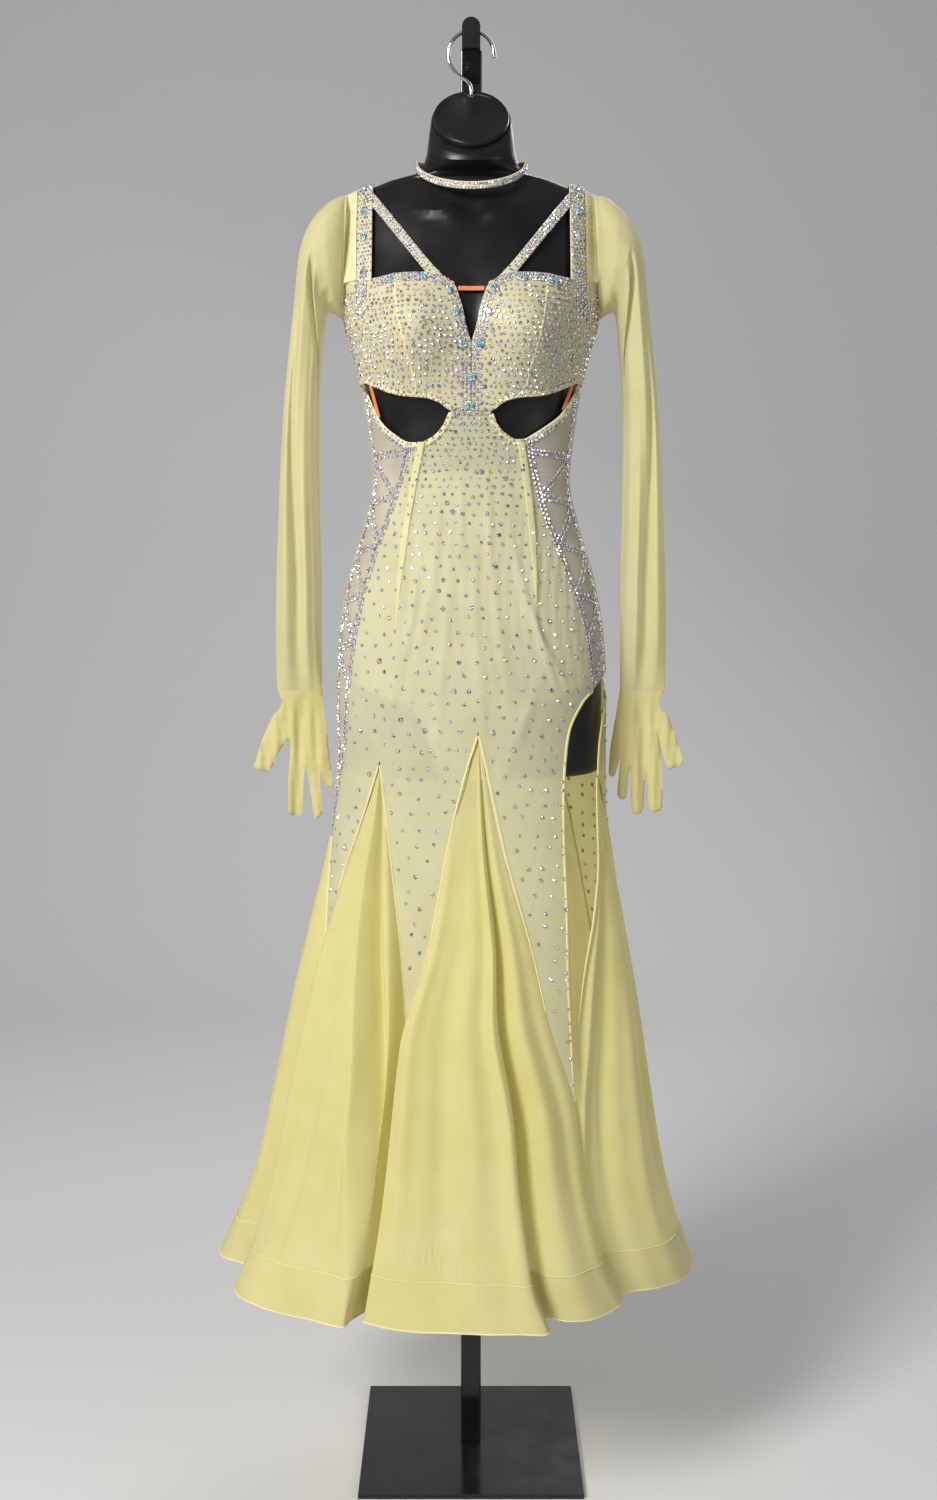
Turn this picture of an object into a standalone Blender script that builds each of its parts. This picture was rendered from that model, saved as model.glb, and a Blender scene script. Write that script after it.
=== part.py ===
"""Latin and ballroom dance dress on a limbless dress form that hangs from a stand.

Metres, +Z up, the front of the dress faces -Y and +X is to the viewer's right.
The origin is the centre of the base plate's underside.
"""
import math
from collections import namedtuple

import bmesh
import bpy
from mathutils import Vector

for old in list(bpy.data.objects):
    bpy.data.objects.remove(old, do_unlink=True)

# Driving sizes of the dress
CLOTH = 0.0015          # thickness of a cloth wall
SEAM_GAP = 0.0003       # gap between two pieces that are sewn together
MID_Y = -0.055          # middle plane of the form and the dress
HEM_Z = 0.275           # height of the skirt's lower edge
HIP_Z = 0.90            # below this height the cloth leaves the hips
ROUNDNESS = 0.90        # 1 gives an ellipse in plan, less gives a squarer section
SIDE_SEAM = 98.0        # degrees from the front to the side seams
FORM_CLEARANCE = 0.005  # air between the form and the cloth

# Driving sizes of the form and the stand
BASE_SIZE = 0.270
BASE_HEIGHT = 0.006
POLE_SIZE = 0.025
POLE_TOP = 1.700
HOOK_PLANE_Y = -0.037
HOOK_RADIUS = 0.026
HOOK_WIRE = 0.0020
HOOK_CENTRE_Z = 1.6869
ARM_WIDTH = 0.018
GROOVE_HALF = 0.0165
GROOVE_FLOOR_Y = -0.0165

Section = namedtuple("Section", "z half_width front back")
BODY = [
    Section(0.868, 0.1570, 0.107, 0.110),
    Section(0.963, 0.1580, 0.105, 0.112),
    Section(1.033, 0.1535, 0.099, 0.108),
    Section(1.103, 0.1400, 0.091, 0.097),
    Section(1.155, 0.1240, 0.085, 0.088),
    Section(1.207, 0.1135, 0.082, 0.084),
    Section(1.259, 0.1180, 0.086, 0.088),
    Section(1.310, 0.1260, 0.092, 0.094),
    Section(1.344, 0.1330, 0.097, 0.099),
    Section(1.378, 0.1420, 0.099, 0.102),
    Section(1.411, 0.1445, 0.094, 0.103),
    Section(1.450, 0.1430, 0.083, 0.098),
    Section(1.490, 0.1410, 0.067, 0.083),
    Section(1.515, 0.1390, 0.052, 0.064),
    Section(1.530, 0.1360, 0.040, 0.050),
]
BUST_X, BUST_Z, BUST_WIDTH, BUST_HEIGHT, BUST_DEPTH = 0.068, 1.365, 0.042, 0.048, 0.030

Spread = namedtuple("Spread", "z share")
SKIRT = [
    Spread(HEM_Z, 1.00), Spread(0.335, 0.83), Spread(0.40, 0.68), Spread(0.50, 0.53),
    Spread(0.60, 0.385), Spread(0.70, 0.22), Spread(0.78, 0.09), Spread(0.86, 0.015),
    Spread(0.93, 0.0),
]


def smooth(rows, at):
    """Value at a position on a smooth curve through (position, value) rows that never overshoots."""
    if at <= rows[0][0]:
        return rows[0][1]
    if at >= rows[-1][0]:
        return rows[-1][1]
    slopes = [(b[1] - a[1]) / (b[0] - a[0]) for a, b in zip(rows, rows[1:])]

    def tangent(index):
        if index in (0, len(rows) - 1):
            return slopes[0] if index == 0 else slopes[-1]
        before, after = slopes[index - 1], slopes[index]
        return 0.0 if before * after <= 0 else 2 * before * after / (before + after)

    index = max(i for i, row in enumerate(rows[:-1]) if row[0] <= at)
    (x0, y0), (x1, y1) = rows[index][:2], rows[index + 1][:2]
    width = x1 - x0
    s = (at - x0) / width
    return ((2 * s**3 - 3 * s**2 + 1) * y0 + (s**3 - 2 * s**2 + s) * width * tangent(index)
            + (3 * s**2 - 2 * s**3) * y1 + (s**3 - s**2) * width * tangent(index + 1))


def body_size(z):
    """Half-width, front depth and back depth of the body at a height."""
    return [smooth([(row.z, row[column]) for row in BODY], z) for column in (1, 2, 3)]


def signed_power(value, power):
    return math.copysign(abs(value) ** power, value)


def angle_at(x, z):
    """Degrees round the front of the body of a point at x and z."""
    ratio = min(1.0, abs(x) / body_size(z)[0])
    return math.copysign(math.degrees(math.asin(ratio ** (1 / ROUNDNESS))), x)


def body_point(degrees, z, out=0.0):
    """Point on the body, measured round from the front, and moved out of the surface."""
    turn = math.radians(degrees)
    width, front, back = body_size(z)
    depth = front if math.cos(turn) > 0 else back
    x = width * signed_power(math.sin(turn), ROUNDNESS)
    y = -depth * signed_power(math.cos(turn), ROUNDNESS)
    normal = Vector((x / width**2, y / depth**2, 0)).normalized()
    if math.cos(turn) > 0:
        side = (abs(x) - BUST_X) / BUST_WIDTH
        height = (z - BUST_Z) / (BUST_HEIGHT if z < BUST_Z else BUST_HEIGHT * 1.15)
        y -= BUST_DEPTH * math.exp(-side**2 - height**2) * math.cos(turn) ** 0.5
    return Vector((x, MID_Y + y, z)) + normal * out


def skirt_point(degrees, z, hem_radius, out=0.0):
    """Point of the skirt: the hip's section opened out towards a radius at the hem."""
    share = smooth(SKIRT, z)
    hip = body_point(degrees, max(z, HIP_Z))
    turn = math.radians(degrees)
    away = Vector((math.sin(turn), -math.cos(turn), 0))
    hem = Vector((0, MID_Y, 0)) + away * hem_radius
    point = hip.lerp(hem, share)
    return Vector((point.x, point.y, z)) + away * out


# ---------------------------------------------------------------- meshes and materials
def material(name, colour, roughness, metallic=0.0):
    made = bpy.data.materials.get(name) or bpy.data.materials.new(name)
    made.use_nodes = True
    shader = made.node_tree.nodes["Principled BSDF"]
    shader.inputs["Base Color"].default_value = (*colour, 1.0)
    shader.inputs["Roughness"].default_value = roughness
    shader.inputs["Metallic"].default_value = metallic
    return made


CHIFFON = material("chiffon", (0.80, 0.74, 0.30), 0.75)
MESH_CLOTH = material("stoned_mesh", (0.72, 0.68, 0.42), 0.55)
SIDE_MESH = material("side_mesh", (0.55, 0.50, 0.40), 0.6)
SLEEVE_MESH = material("sleeve_mesh", (0.80, 0.75, 0.33), 0.7)
STONED_TRIM = material("stoned_trim", (0.78, 0.74, 0.62), 0.3)
ELASTIC = material("elastic", (0.60, 0.22, 0.12), 0.6)
FORM_PLASTIC = material("form_plastic", (0.012, 0.012, 0.014), 0.4)
STAND_PAINT = material("stand_paint", (0.010, 0.010, 0.011), 0.25, 0.3)
CHROME = material("chrome", (0.8, 0.8, 0.82), 0.12, 1.0)


def new_object(name, points, faces, finish):
    """Closed mesh with its faces turned outwards, as one named node."""
    mesh = bpy.data.meshes.new(name)
    mesh.from_pydata([tuple(point) for point in points], [], faces)
    shape = bmesh.new()
    shape.from_mesh(mesh)
    bmesh.ops.recalc_face_normals(shape, faces=shape.faces)
    if shape.calc_volume(signed=True) < 0:
        bmesh.ops.reverse_faces(shape, faces=shape.faces)
    shape.to_mesh(mesh)
    shape.free()
    mesh.materials.append(finish)
    mesh.shade_smooth()
    mesh.set_sharp_from_angle(angle=math.radians(50))
    item = bpy.data.objects.new(name, mesh)
    bpy.context.scene.collection.objects.link(item)
    return item


def ring_faces(levels, count):
    """Quads between each two neighbouring rings of the same number of points."""
    faces = []
    for level in range(levels - 1):
        for i in range(count):
            j = (i + 1) % count
            faces.append((level * count + i, level * count + j, (level + 1) * count + j,
                          (level + 1) * count + i))
    return faces


def end_faces(levels, count):
    """The two flat ends of a stack of rings."""
    return [tuple(reversed(range(count))), tuple(range((levels - 1) * count, levels * count))]


class Cloth:
    """A sheet of cloth as points and four-sided faces, made into a wall of even thickness."""

    def __init__(self):
        self.points = []
        self.faces = []

    def add(self, point):
        self.points.append(Vector(point))
        return len(self.points) - 1

    def join(self, rows, closed=False, flip=False):
        """Fill between rows of point numbers; flip turns the outside to the other face."""
        for low, high in zip(rows, rows[1:]):
            for i in range(len(low) if closed else len(low) - 1):
                j = (i + 1) % len(low)
                face = (low[i], low[j], high[j], high[i])
                self.faces.append(tuple(reversed(face)) if flip else face)

    def grid(self, columns, rows, place):
        """Add a sheet; place(u, v) gives the point at each share across and up it."""
        self.join([[self.add(place(column / columns, row / rows)) for column in range(columns + 1)]
                   for row in range(rows + 1)])

    def make(self, name, finish, thickness=CLOTH):
        """Close the sheet into a wall that is built out on its outer side, or in if negative."""
        count = len(self.points)
        normals = [Vector() for _ in range(count)]
        edges = set()
        for face in self.faces:
            a, b, c, d = (self.points[i] for i in face)
            normal = (c - a).cross(d - b)
            for index in face:
                normals[index] += normal
            for start, end in zip(face, face[1:] + face[:1]):
                edges.add((start, end))
        outer = [p + n.normalized() * thickness for p, n in zip(self.points, normals)]
        faces = [tuple(index + count for index in face) for face in self.faces]
        faces += [tuple(reversed(face)) for face in self.faces]
        for start, end in sorted(edges):
            if (end, start) not in edges:
                faces.append((start, end, end + count, start + count))
        return new_object(name, self.points + outer, faces, finish)


# ---------------------------------------------------------------- stand
def block(name, low, high, finish, bevel=0.0):
    corners = [(x, y, z) for z in (low[2], high[2]) for y in (low[1], high[1]) for x in (low[0], high[0])]
    faces = [(0, 2, 3, 1), (4, 5, 7, 6), (0, 1, 5, 4), (2, 6, 7, 3), (0, 4, 6, 2), (1, 3, 7, 5)]
    item = new_object(name, corners, faces, finish)
    if bevel:
        rounding = item.modifiers.new("rounding", "BEVEL")
        rounding.width = bevel
        rounding.segments = 2
    return item


LIP_BACK, LIP_FRONT, LIP_TOP = 0.0035, 0.0085, 1.7180      # the lip stands in front of the hook's plane
RAIL_HEIGHT, GUSSET_DROP = 0.020, 0.030                    # at the pole the arm is deeper by its gusset
ARCH_STEPS = 8


def arm_ring(y, bottom, top):
    """Section of the arm: flat sides, a square underside and a round top."""
    half = ARM_WIDTH / 2
    turns = [math.pi * i / ARCH_STEPS for i in range(ARCH_STEPS + 1)]
    arch = [(half * math.cos(turn), y, top - half + half * math.sin(turn)) for turn in turns]
    return [(half, y, bottom)] + arch + [(-half, y, bottom)]


def make_stand():
    """Square plate and tube, and one bent bar: a rail from the tube with its end turned up."""
    half, pole = BASE_SIZE / 2, POLE_SIZE / 2
    block("base_plate", (-half, -half, 0), (half, half, BASE_HEIGHT), STAND_PAINT)
    block("pole", (-pole, -pole, BASE_HEIGHT + SEAM_GAP), (pole, pole, POLE_TOP), STAND_PAINT, 0.002)

    rail_top = HOOK_CENTRE_Z + HOOK_RADIUS - HOOK_WIRE - SEAM_GAP
    rail_bottom = rail_top - RAIL_HEIGHT
    lip_back, lip_front = HOOK_PLANE_Y - LIP_BACK, HOOK_PLANE_Y - LIP_FRONT
    rings = [arm_ring(-pole - SEAM_GAP, rail_bottom - GUSSET_DROP, rail_top),
             arm_ring(lip_back, rail_bottom, rail_top),
             arm_ring(lip_back - 0.0002, rail_bottom, LIP_TOP),
             arm_ring(lip_front, rail_bottom + 0.002, LIP_TOP - 0.001)]
    count = len(rings[0])
    points = [point for ring in rings for point in ring]
    faces = ring_faces(len(rings), count) + end_faces(len(rings), count)
    new_object("arm", points, faces, STAND_PAINT)


# ---------------------------------------------------------------- form
Ring = namedtuple("Ring", "z half_width front back centre_y tilt")
NECK = [
    Ring(1.5420, 0.0930, 0.029, 0.036, -0.058, 0),
    Ring(1.5490, 0.0640, 0.033, 0.032, -0.061, 4),
    Ring(1.5570, 0.0540, 0.038, 0.036, -0.065, 10),
    Ring(1.5700, 0.0500, 0.044, 0.040, -0.068, 20),
    Ring(1.5900, 0.0475, 0.050, 0.046, -0.066, 33),
    Ring(1.6075, 0.0450, 0.056, 0.056, -0.062, 45),
]
CAP_TILT = math.radians(NECK[-1].tilt)
CAP_FACE = 0.0045                                          # height of the cap's sunk face
CAP_RINGS = [(0.95, 0.0), (0.95, 0.004), (0.92, 0.006), (0.84, 0.006), (0.82, CAP_FACE)]
FORM_BOTTOM, FORM_ROUNDING = 0.868, 0.008
FORM_LEVELS = [0.874, 0.90, 0.94, 0.98, 1.03, 1.08, 1.12, 1.16, 1.207, 1.25, 1.29, 1.32, 1.345, 1.37,
               1.395, 1.42, 1.45, 1.475, 1.50, 1.515, 1.527]
FRONT_TURNS = [i * 180 / 13 for i in range(-11, 12)]       # degrees of a level's points round its front
CHANNEL_TURNS = [162, 174, 186, 198]                       # and of the four that follow the channel
CHANNEL_SLOPE, CHANNEL_LEAST = 0.0015, 0.002


def torso_ring(z, shrink=0.0):
    """One level of the torso: front points, then the back with the channel's four corners."""
    inwards = -FORM_CLEARANCE - shrink
    points = [body_point(turn, z, inwards) for turn in FRONT_TURNS]
    back_y = max(body_point(180, z, inwards).y, GROOVE_FLOOR_Y + CHANNEL_LEAST)
    corners = [(GROOVE_HALF + CHANNEL_SLOPE, back_y), (GROOVE_HALF, GROOVE_FLOOR_Y),
               (-GROOVE_HALF, GROOVE_FLOOR_Y), (-GROOVE_HALF - CHANNEL_SLOPE, back_y)]
    return points + [Vector((x, y, z)) for x, y in corners]


def neck_ring(row):
    """One level of the neck, tilted forward, with as many points as a torso ring."""
    tilt = math.radians(row.tilt)
    points = []
    for degrees in FRONT_TURNS + CHANNEL_TURNS:
        turn = math.radians(degrees)
        depth = row.front if math.cos(turn) > 0 else row.back
        along_slope = -depth * math.cos(turn)
        points.append(Vector((row.half_width * math.sin(turn), row.centre_y + along_slope * math.cos(tilt),
                              row.z + along_slope * math.sin(tilt))))
    return points


def make_form():
    """Limbless torso with a channel down its back for the pole, and the disc that closes its neck."""
    rings = [torso_ring(FORM_BOTTOM, FORM_ROUNDING)] + [torso_ring(z) for z in FORM_LEVELS]
    rings += [neck_ring(row) for row in NECK]
    count = len(rings[0])
    points = [point for ring in rings for point in ring]
    faces = ring_faces(len(rings), count) + end_faces(len(rings), count)
    new_object("form_torso", points, faces, FORM_PLASTIC)

    top = NECK[-1]
    normal = Vector((0, -math.sin(CAP_TILT), math.cos(CAP_TILT)))
    slope = Vector((0, -math.cos(CAP_TILT), -math.sin(CAP_TILT)))
    centre = Vector((0, top.centre_y, top.z)) + normal * SEAM_GAP
    steps = 28
    points = []
    for share, height in CAP_RINGS:
        for i in range(steps):
            turn = 2 * math.pi * i / steps
            across = Vector((top.half_width * math.sin(turn), 0, 0)) + slope * top.front * math.cos(turn)
            points.append(centre + normal * height + across * share)
    faces = ring_faces(len(CAP_RINGS), steps) + end_faces(len(CAP_RINGS), steps)
    new_object("form_cap", points, faces, FORM_PLASTIC)


HOOK_ARC = range(0, 216, 15)                               # degrees of the points round the hook's bow
HOOK_TIP = (0.0262, 1.6850)
HOOK_BEND = [(-0.0155, 1.6640), (-0.0080, 1.6585), (-0.0015, 1.6530), (0.0, 1.6470)]


def make_hook():
    """Chrome wire: most of a circle, an S-bend and a shank that ends on the cap."""
    top = NECK[-1]
    face = CAP_FACE + 2 * SEAM_GAP + HOOK_WIRE
    foot_z = top.z + (HOOK_PLANE_Y - top.centre_y) * math.tan(CAP_TILT) + face / math.cos(CAP_TILT)
    turns = [math.radians(degrees) for degrees in HOOK_ARC]
    arc = [(HOOK_RADIUS * math.cos(turn), HOOK_CENTRE_Z + HOOK_RADIUS * math.sin(turn)) for turn in turns]
    route = [HOOK_TIP] + arc + HOOK_BEND + [(0.0, foot_z)]
    line = bpy.data.curves.new("hook_route", "CURVE")
    line.dimensions = "3D"
    spline = line.splines.new("POLY")
    spline.points.add(len(route) - 1)
    for spot, (x, z) in zip(spline.points, route):
        spot.co = (x, HOOK_PLANE_Y, z, 1)
    line.bevel_depth = HOOK_WIRE
    line.bevel_resolution = 2
    line.use_fill_caps = True
    line.materials.append(CHROME)
    hook = bpy.data.objects.new("hook", line)
    bpy.context.scene.collection.objects.link(hook)


# ---------------------------------------------------------------- bodice
Edge = namedtuple("Edge", "z x")                 # a seam by its distance from the centre line
Top = namedtuple("Top", "x z")                   # an upper or lower edge by its height
Turn = namedtuple("Turn", "z degrees")           # an upright edge by its angle from the front
PRINCESS = [Edge(1.270, 0.0600), Edge(1.293, 0.0608), Edge(1.303, 0.0610), Edge(1.339, 0.0694),
            Edge(1.376, 0.0785), Edge(1.428, 0.0843), Edge(1.45, 0.085)]
NOTCH = [Edge(1.353, 0.0), Edge(1.411, 0.0090), Edge(1.43, 0.0110)]
NECKLINE = [Top(0.0090, 1.4110), Top(0.0160, 1.4175), Top(0.0288, 1.4227), Top(0.0507, 1.4285),
            Top(0.0781, 1.4300), Top(0.1089, 1.4275), Top(0.1440, 1.4290)]
CUP_BOTTOM = [Top(0.0, 1.2795), Top(0.0214, 1.2795), Top(0.0347, 1.2880), Top(0.0514, 1.2932),
              Top(0.0736, 1.2955), Top(0.0902, 1.2998), Top(0.1046, 1.3063), Top(0.1190, 1.3135)]
MIDRIFF_TOP = [Top(0.0, 1.2786), Top(0.0214, 1.2786), Top(0.0281, 1.2656), Top(0.0403, 1.2524),
               Top(0.0571, 1.2453), Top(0.0681, 1.2456), Top(0.0882, 1.2568), Top(0.1015, 1.2700),
               Top(0.1103, 1.2864), Top(0.1180, 1.3050)]
LATTICE = [Edge(0.879, 0.1470), Edge(0.940, 0.1425), Edge(0.993, 0.1372), Edge(1.040, 0.1300),
           Edge(1.080, 0.1212), Edge(1.120, 0.1090), Edge(1.165, 0.0925), Edge(1.205, 0.0790),
           Edge(1.247, 0.0681), Edge(1.28, 0.0610)]
SEAM_TURN = 0.12        # degrees from a body seam to each of the two pieces that meet there
DART = [Edge(1.048, 0.0832), Edge(1.077, 0.0809), Edge(1.137, 0.0739), Edge(1.204, 0.0625),
        Edge(1.244, 0.0546)]
DART_DEPTH, DART_WIDTH, DART_FOOT_Z, DART_FADE = 0.0022, 0.006, 1.03, 0.05
ARMHOLE = [Turn(1.31, SIDE_SEAM - 0.3), Turn(1.365, 96.0), Turn(1.390, 94.0), Turn(1.410, 86.0),
           Turn(1.429, 82.0)]
BACK_ARMHOLE = [Turn(1.31, SIDE_SEAM), Turn(1.365, 96.3), Turn(1.39, 94.6)]
SLIT_FRONT = [Turn(HEM_Z, 52.0), Turn(0.320, 45.5), Turn(0.3625, 43.0), Turn(0.420, 40.0),
              Turn(0.492, 38.2), Turn(0.617, 39.0), Turn(0.733, 41.0), Turn(0.800, 41.5),
              Turn(0.871, 43.0), Turn(0.920, 44.5), Turn(0.954, 52.0), Turn(0.968, 61.5)]
HIP_FLARE = [Turn(0.790, 88.0), Turn(0.830, 79.0), Turn(0.879, 69.4)]
SLIT_BACK = [Turn(HEM_Z, 45.0), Turn(0.320, 40.0), Turn(0.3625, 37.0), Turn(0.420, 35.0),
             Turn(0.500, 36.0), Turn(0.553, 39.4), Turn(0.602, 43.0), Turn(0.6455, 47.0),
             Turn(0.719, 57.8), Turn(0.776, 64.0), Turn(0.877, 65.5), Turn(0.937, 73.0),
             Turn(0.962, 97.0)]
SLIT_TOP_Z = 0.968


def lerp(start, end, share):
    return start + (end - start) * share


def height_on(rows, x):
    """Height of an upper or lower edge at a distance from the centre line."""
    return smooth(rows, abs(x))


def panel(cloth, columns, rows, left, right, low, high, place):
    """Grid on the body between two upright edges (functions of z) and two level edges (of x)."""
    def point(u, v):
        z = 0.5 * (low(0.0) + high(0.0))
        for _ in range(12):
            degrees = lerp(left(z), right(z), u)
            x = body_point(degrees, z).x
            z = lerp(low(x), high(x), v)
        return place(degrees, z)
    cloth.grid(columns, rows, point)


def make_cups(side, word):
    """Inner and outer piece of one cup, which meet at the seam over the bust."""
    half_gap = SEAM_GAP / 2

    def notch(z):
        return side * (angle_at(smooth(NOTCH, z), z) + math.degrees(half_gap / 0.1))

    def princess(z, outwards):
        return side * angle_at(smooth(PRINCESS, z) + outwards * half_gap, z)

    def armhole(z):
        return side * smooth(ARMHOLE, z)

    for part_word, inner, outer, columns in (
            ("inner", notch, lambda z: princess(z, -1), 8),
            ("outer", lambda z: princess(z, 1), armhole, 6)):
        cloth = Cloth()
        first, last = (inner, outer) if side > 0 else (outer, inner)
        panel(cloth, columns, 9, first, last, lambda x: height_on(CUP_BOTTOM, x),
              lambda x: height_on(NECKLINE, x), body_point)
        cloth.make(f"{word}_{part_word}_cup", MESH_CLOTH)


# ---------------------------------------------------------------- skirt
LEAST_STEP = 0.012      # least height between two levels of points
TAIL_STEP = 0.035       # height of the slanting steps between a tail and its panel
LEVELS = [HEM_Z, 0.287, 0.328, 0.380, 0.435, 0.49, 0.53, 0.575, 0.61, 0.66, 0.71, 0.76, 0.81, 0.85]
Valley = namedtuple("Valley", "degrees radius")
VALLEYS = [Valley(-122, 0.200), Valley(-78, 0.235), Valley(-28, 0.168), Valley(40, 0.222),
           Valley(66, 0.207), Valley(122, 0.200), Valley(163, 0.190), Valley(197, 0.190),
           Valley(238, 0.200), Valley(282, 0.235)]
Lobe = namedtuple("Lobe", "across radius")
Godet = namedtuple("Godet", "name low high apex_z high_turn columns lobes")
LEFT_FRONT_SEAM = [Turn(HEM_Z, -31.0), Turn(0.405, -29.0), Turn(0.575, -25.9)]
LEFT_SEAM = [Turn(HEM_Z, -78.0), Turn(0.45, -74.0), Turn(0.645, -70.0)]
SIDE_BACK_SEAM = [Turn(HEM_Z, 122.0), Turn(0.45, 120.0), Turn(0.61, 118.0)]
BACK_SEAM = [Turn(HEM_Z, 163.0), Turn(0.45, 161.0), Turn(0.61, 159.0)]


def other_side(rows, turn=0.0):
    return [Turn(row.z, turn - row.degrees) for row in rows]


Edges = namedtuple("Edges", "seam flare")       # a seam up to a tail's tip, then one of the tail's edges
TAIL_SIDES = {
    "left_tail_low": Edges(LEFT_SEAM, [Turn(0.75, -80.0), Turn(0.790, -88.0)]),
    "left_tail_high": Edges(LEFT_SEAM, [Turn(0.748, -61.6), Turn(0.806, -53.0), Turn(0.883, -41.2)]),
    "front_tail_low": Edges(LEFT_FRONT_SEAM, [Turn(0.6635, -27.6), Turn(0.79, -34.5), Turn(0.847, -38.1),
                                              Turn(0.883, -41.2)]),
    "front_tail_high": Edges(LEFT_FRONT_SEAM, [Turn(0.605, -23.6), Turn(0.687, -15.3), Turn(0.79, -8.5),
                                               Turn(0.913, 2.0)]),
    "slit_tail_low": Edges(SLIT_FRONT[:5], [Turn(0.605, 26.6), Turn(0.675, 21.9), Turn(0.79, 11.6),
                                            Turn(0.913, 2.0)]),
    "slit_tail_high": Edges(SLIT_FRONT, []),
    "slit_back": Edges(SLIT_BACK, []),
    "right_tail_low": Edges(SIDE_BACK_SEAM, [Turn(0.70, 108.0), Turn(0.80, 85.0), Turn(0.872, 65.45)]),
    "right_tail_high": Edges(SIDE_BACK_SEAM, [Turn(0.72, 125.0), Turn(0.860, 138.0)]),
    "back_tail_low": Edges(BACK_SEAM, [Turn(0.72, 150.0), Turn(0.860, 138.0)]),
    "back_tail_high": Edges(BACK_SEAM, [Turn(0.72, 169.0), Turn(0.900, 180.0)]),
    "far_tail_low": Edges(other_side(BACK_SEAM, 360), [Turn(0.72, 191.0), Turn(0.900, 180.0)]),
    "far_tail_high": Edges(other_side(BACK_SEAM, 360), [Turn(0.72, 210.0), Turn(0.860, 222.0)]),
    "corner_tail_low": Edges(other_side(SIDE_BACK_SEAM, 360), [Turn(0.72, 235.0), Turn(0.860, 222.0)]),
    "corner_tail_high": Edges(other_side(SIDE_BACK_SEAM, 360), [Turn(0.70, 250.0), Turn(0.790, 262.0)]),
}


def edge_degrees(name, z):
    """Angle of an edge at a height; straight between the skirt's levels, so that neighbours match."""
    seam, flare = TAIL_SIDES[name]
    if not flare and z > LEVELS[-1]:
        return smooth(seam, z)
    top = (flare or seam)[-1][0]
    nodes = [level for level in LEVELS if level < top - LEAST_STEP] + [top]
    above = next((i for i, level in enumerate(nodes) if level >= z), len(nodes) - 1)
    below = max(0, above - 1)
    values = [smooth(seam, nodes[i]) if nodes[i] <= seam[-1][0] or not flare
              else smooth(seam[-1:] + flare, nodes[i]) for i in (below, above)]
    span = nodes[above] - nodes[below]
    return values[1] if span == 0 else lerp(values[0], values[1], min(1.0, (z - nodes[below]) / span))


GODETS = [
    Godet("front_godet", "front_tail_high", "slit_tail_low", 0.908, 0, 22,
          [Lobe(0, 0.168), Lobe(0.05, 0.236), Lobe(0.18, 0.243), Lobe(0.37, 0.237), Lobe(0.52, 0.243),
           Lobe(0.61, 0.250), Lobe(0.655, 0.207), Lobe(0.71, 0.224), Lobe(0.82, 0.235), Lobe(0.93, 0.232),
           Lobe(1, 0.222)]),
    Godet("left_front_godet", "left_tail_high", "front_tail_low", 0.878, 0, 14,
          [Lobe(0, 0.235), Lobe(0.12, 0.283), Lobe(0.30, 0.298), Lobe(0.50, 0.288), Lobe(0.72, 0.272),
           Lobe(0.88, 0.262), Lobe(0.96, 0.240), Lobe(1, 0.168)]),
    Godet("left_side_godet", "corner_tail_high", "left_tail_low", 0.7895, 360, 14,
          [Lobe(0, 0.200), Lobe(0.12, 0.272), Lobe(0.28, 0.305), Lobe(0.44, 0.268), Lobe(0.58, 0.308),
           Lobe(0.76, 0.306), Lobe(0.90, 0.280), Lobe(1, 0.235)]),
    Godet("left_back_godet", "far_tail_high", "corner_tail_low", 0.855, 0, 12,
          [Lobe(0, 0.190), Lobe(0.15, 0.262), Lobe(0.35, 0.283), Lobe(0.52, 0.232), Lobe(0.66, 0.285),
           Lobe(0.86, 0.270), Lobe(1, 0.200)]),
    Godet("back_godet", "back_tail_high", "far_tail_low", 0.895, 0, 12,
          [Lobe(0, 0.190), Lobe(0.17, 0.265), Lobe(0.36, 0.283), Lobe(0.51, 0.226), Lobe(0.64, 0.285),
           Lobe(0.84, 0.266), Lobe(1, 0.190)]),
    Godet("right_back_godet", "right_tail_high", "back_tail_low", 0.855, 0, 12,
          [Lobe(0, 0.200), Lobe(0.14, 0.268), Lobe(0.33, 0.281), Lobe(0.47, 0.230), Lobe(0.63, 0.284),
           Lobe(0.84, 0.265), Lobe(1, 0.190)]),
    Godet("right_side_godet", "slit_back", "right_tail_low", 0.866, 0, 18,
          [Lobe(0, 0.207), Lobe(0.12, 0.213), Lobe(0.25, 0.245), Lobe(0.38, 0.266), Lobe(0.52, 0.270),
           Lobe(0.62, 0.224), Lobe(0.74, 0.268), Lobe(0.90, 0.270), Lobe(1, 0.200)]),
]


def seam_turn(z):
    """Degrees that a godet's edge keeps from its seam line."""
    return math.degrees(SEAM_GAP / (0.14 + 0.06 * smooth(SKIRT, z)))


def cloth_place(degrees, z):
    """Point of the body cloth, which leaves the hips below HIP_Z and opens out."""
    return skirt_point(degrees, z, smooth(VALLEYS, degrees)) if z < HIP_Z else body_point(degrees, z)


def lobe_spots(godet):
    """Column places across a godet: every turning point of its folds, and even steps between."""
    spots = []
    step = 1.0 / godet.columns
    for first, second in zip(godet.lobes, godet.lobes[1:]):
        parts = max(1, round((second.across - first.across) / step))
        spots += [lerp(first.across, second.across, i / parts) for i in range(parts)]
    return spots + [1.0]


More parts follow.
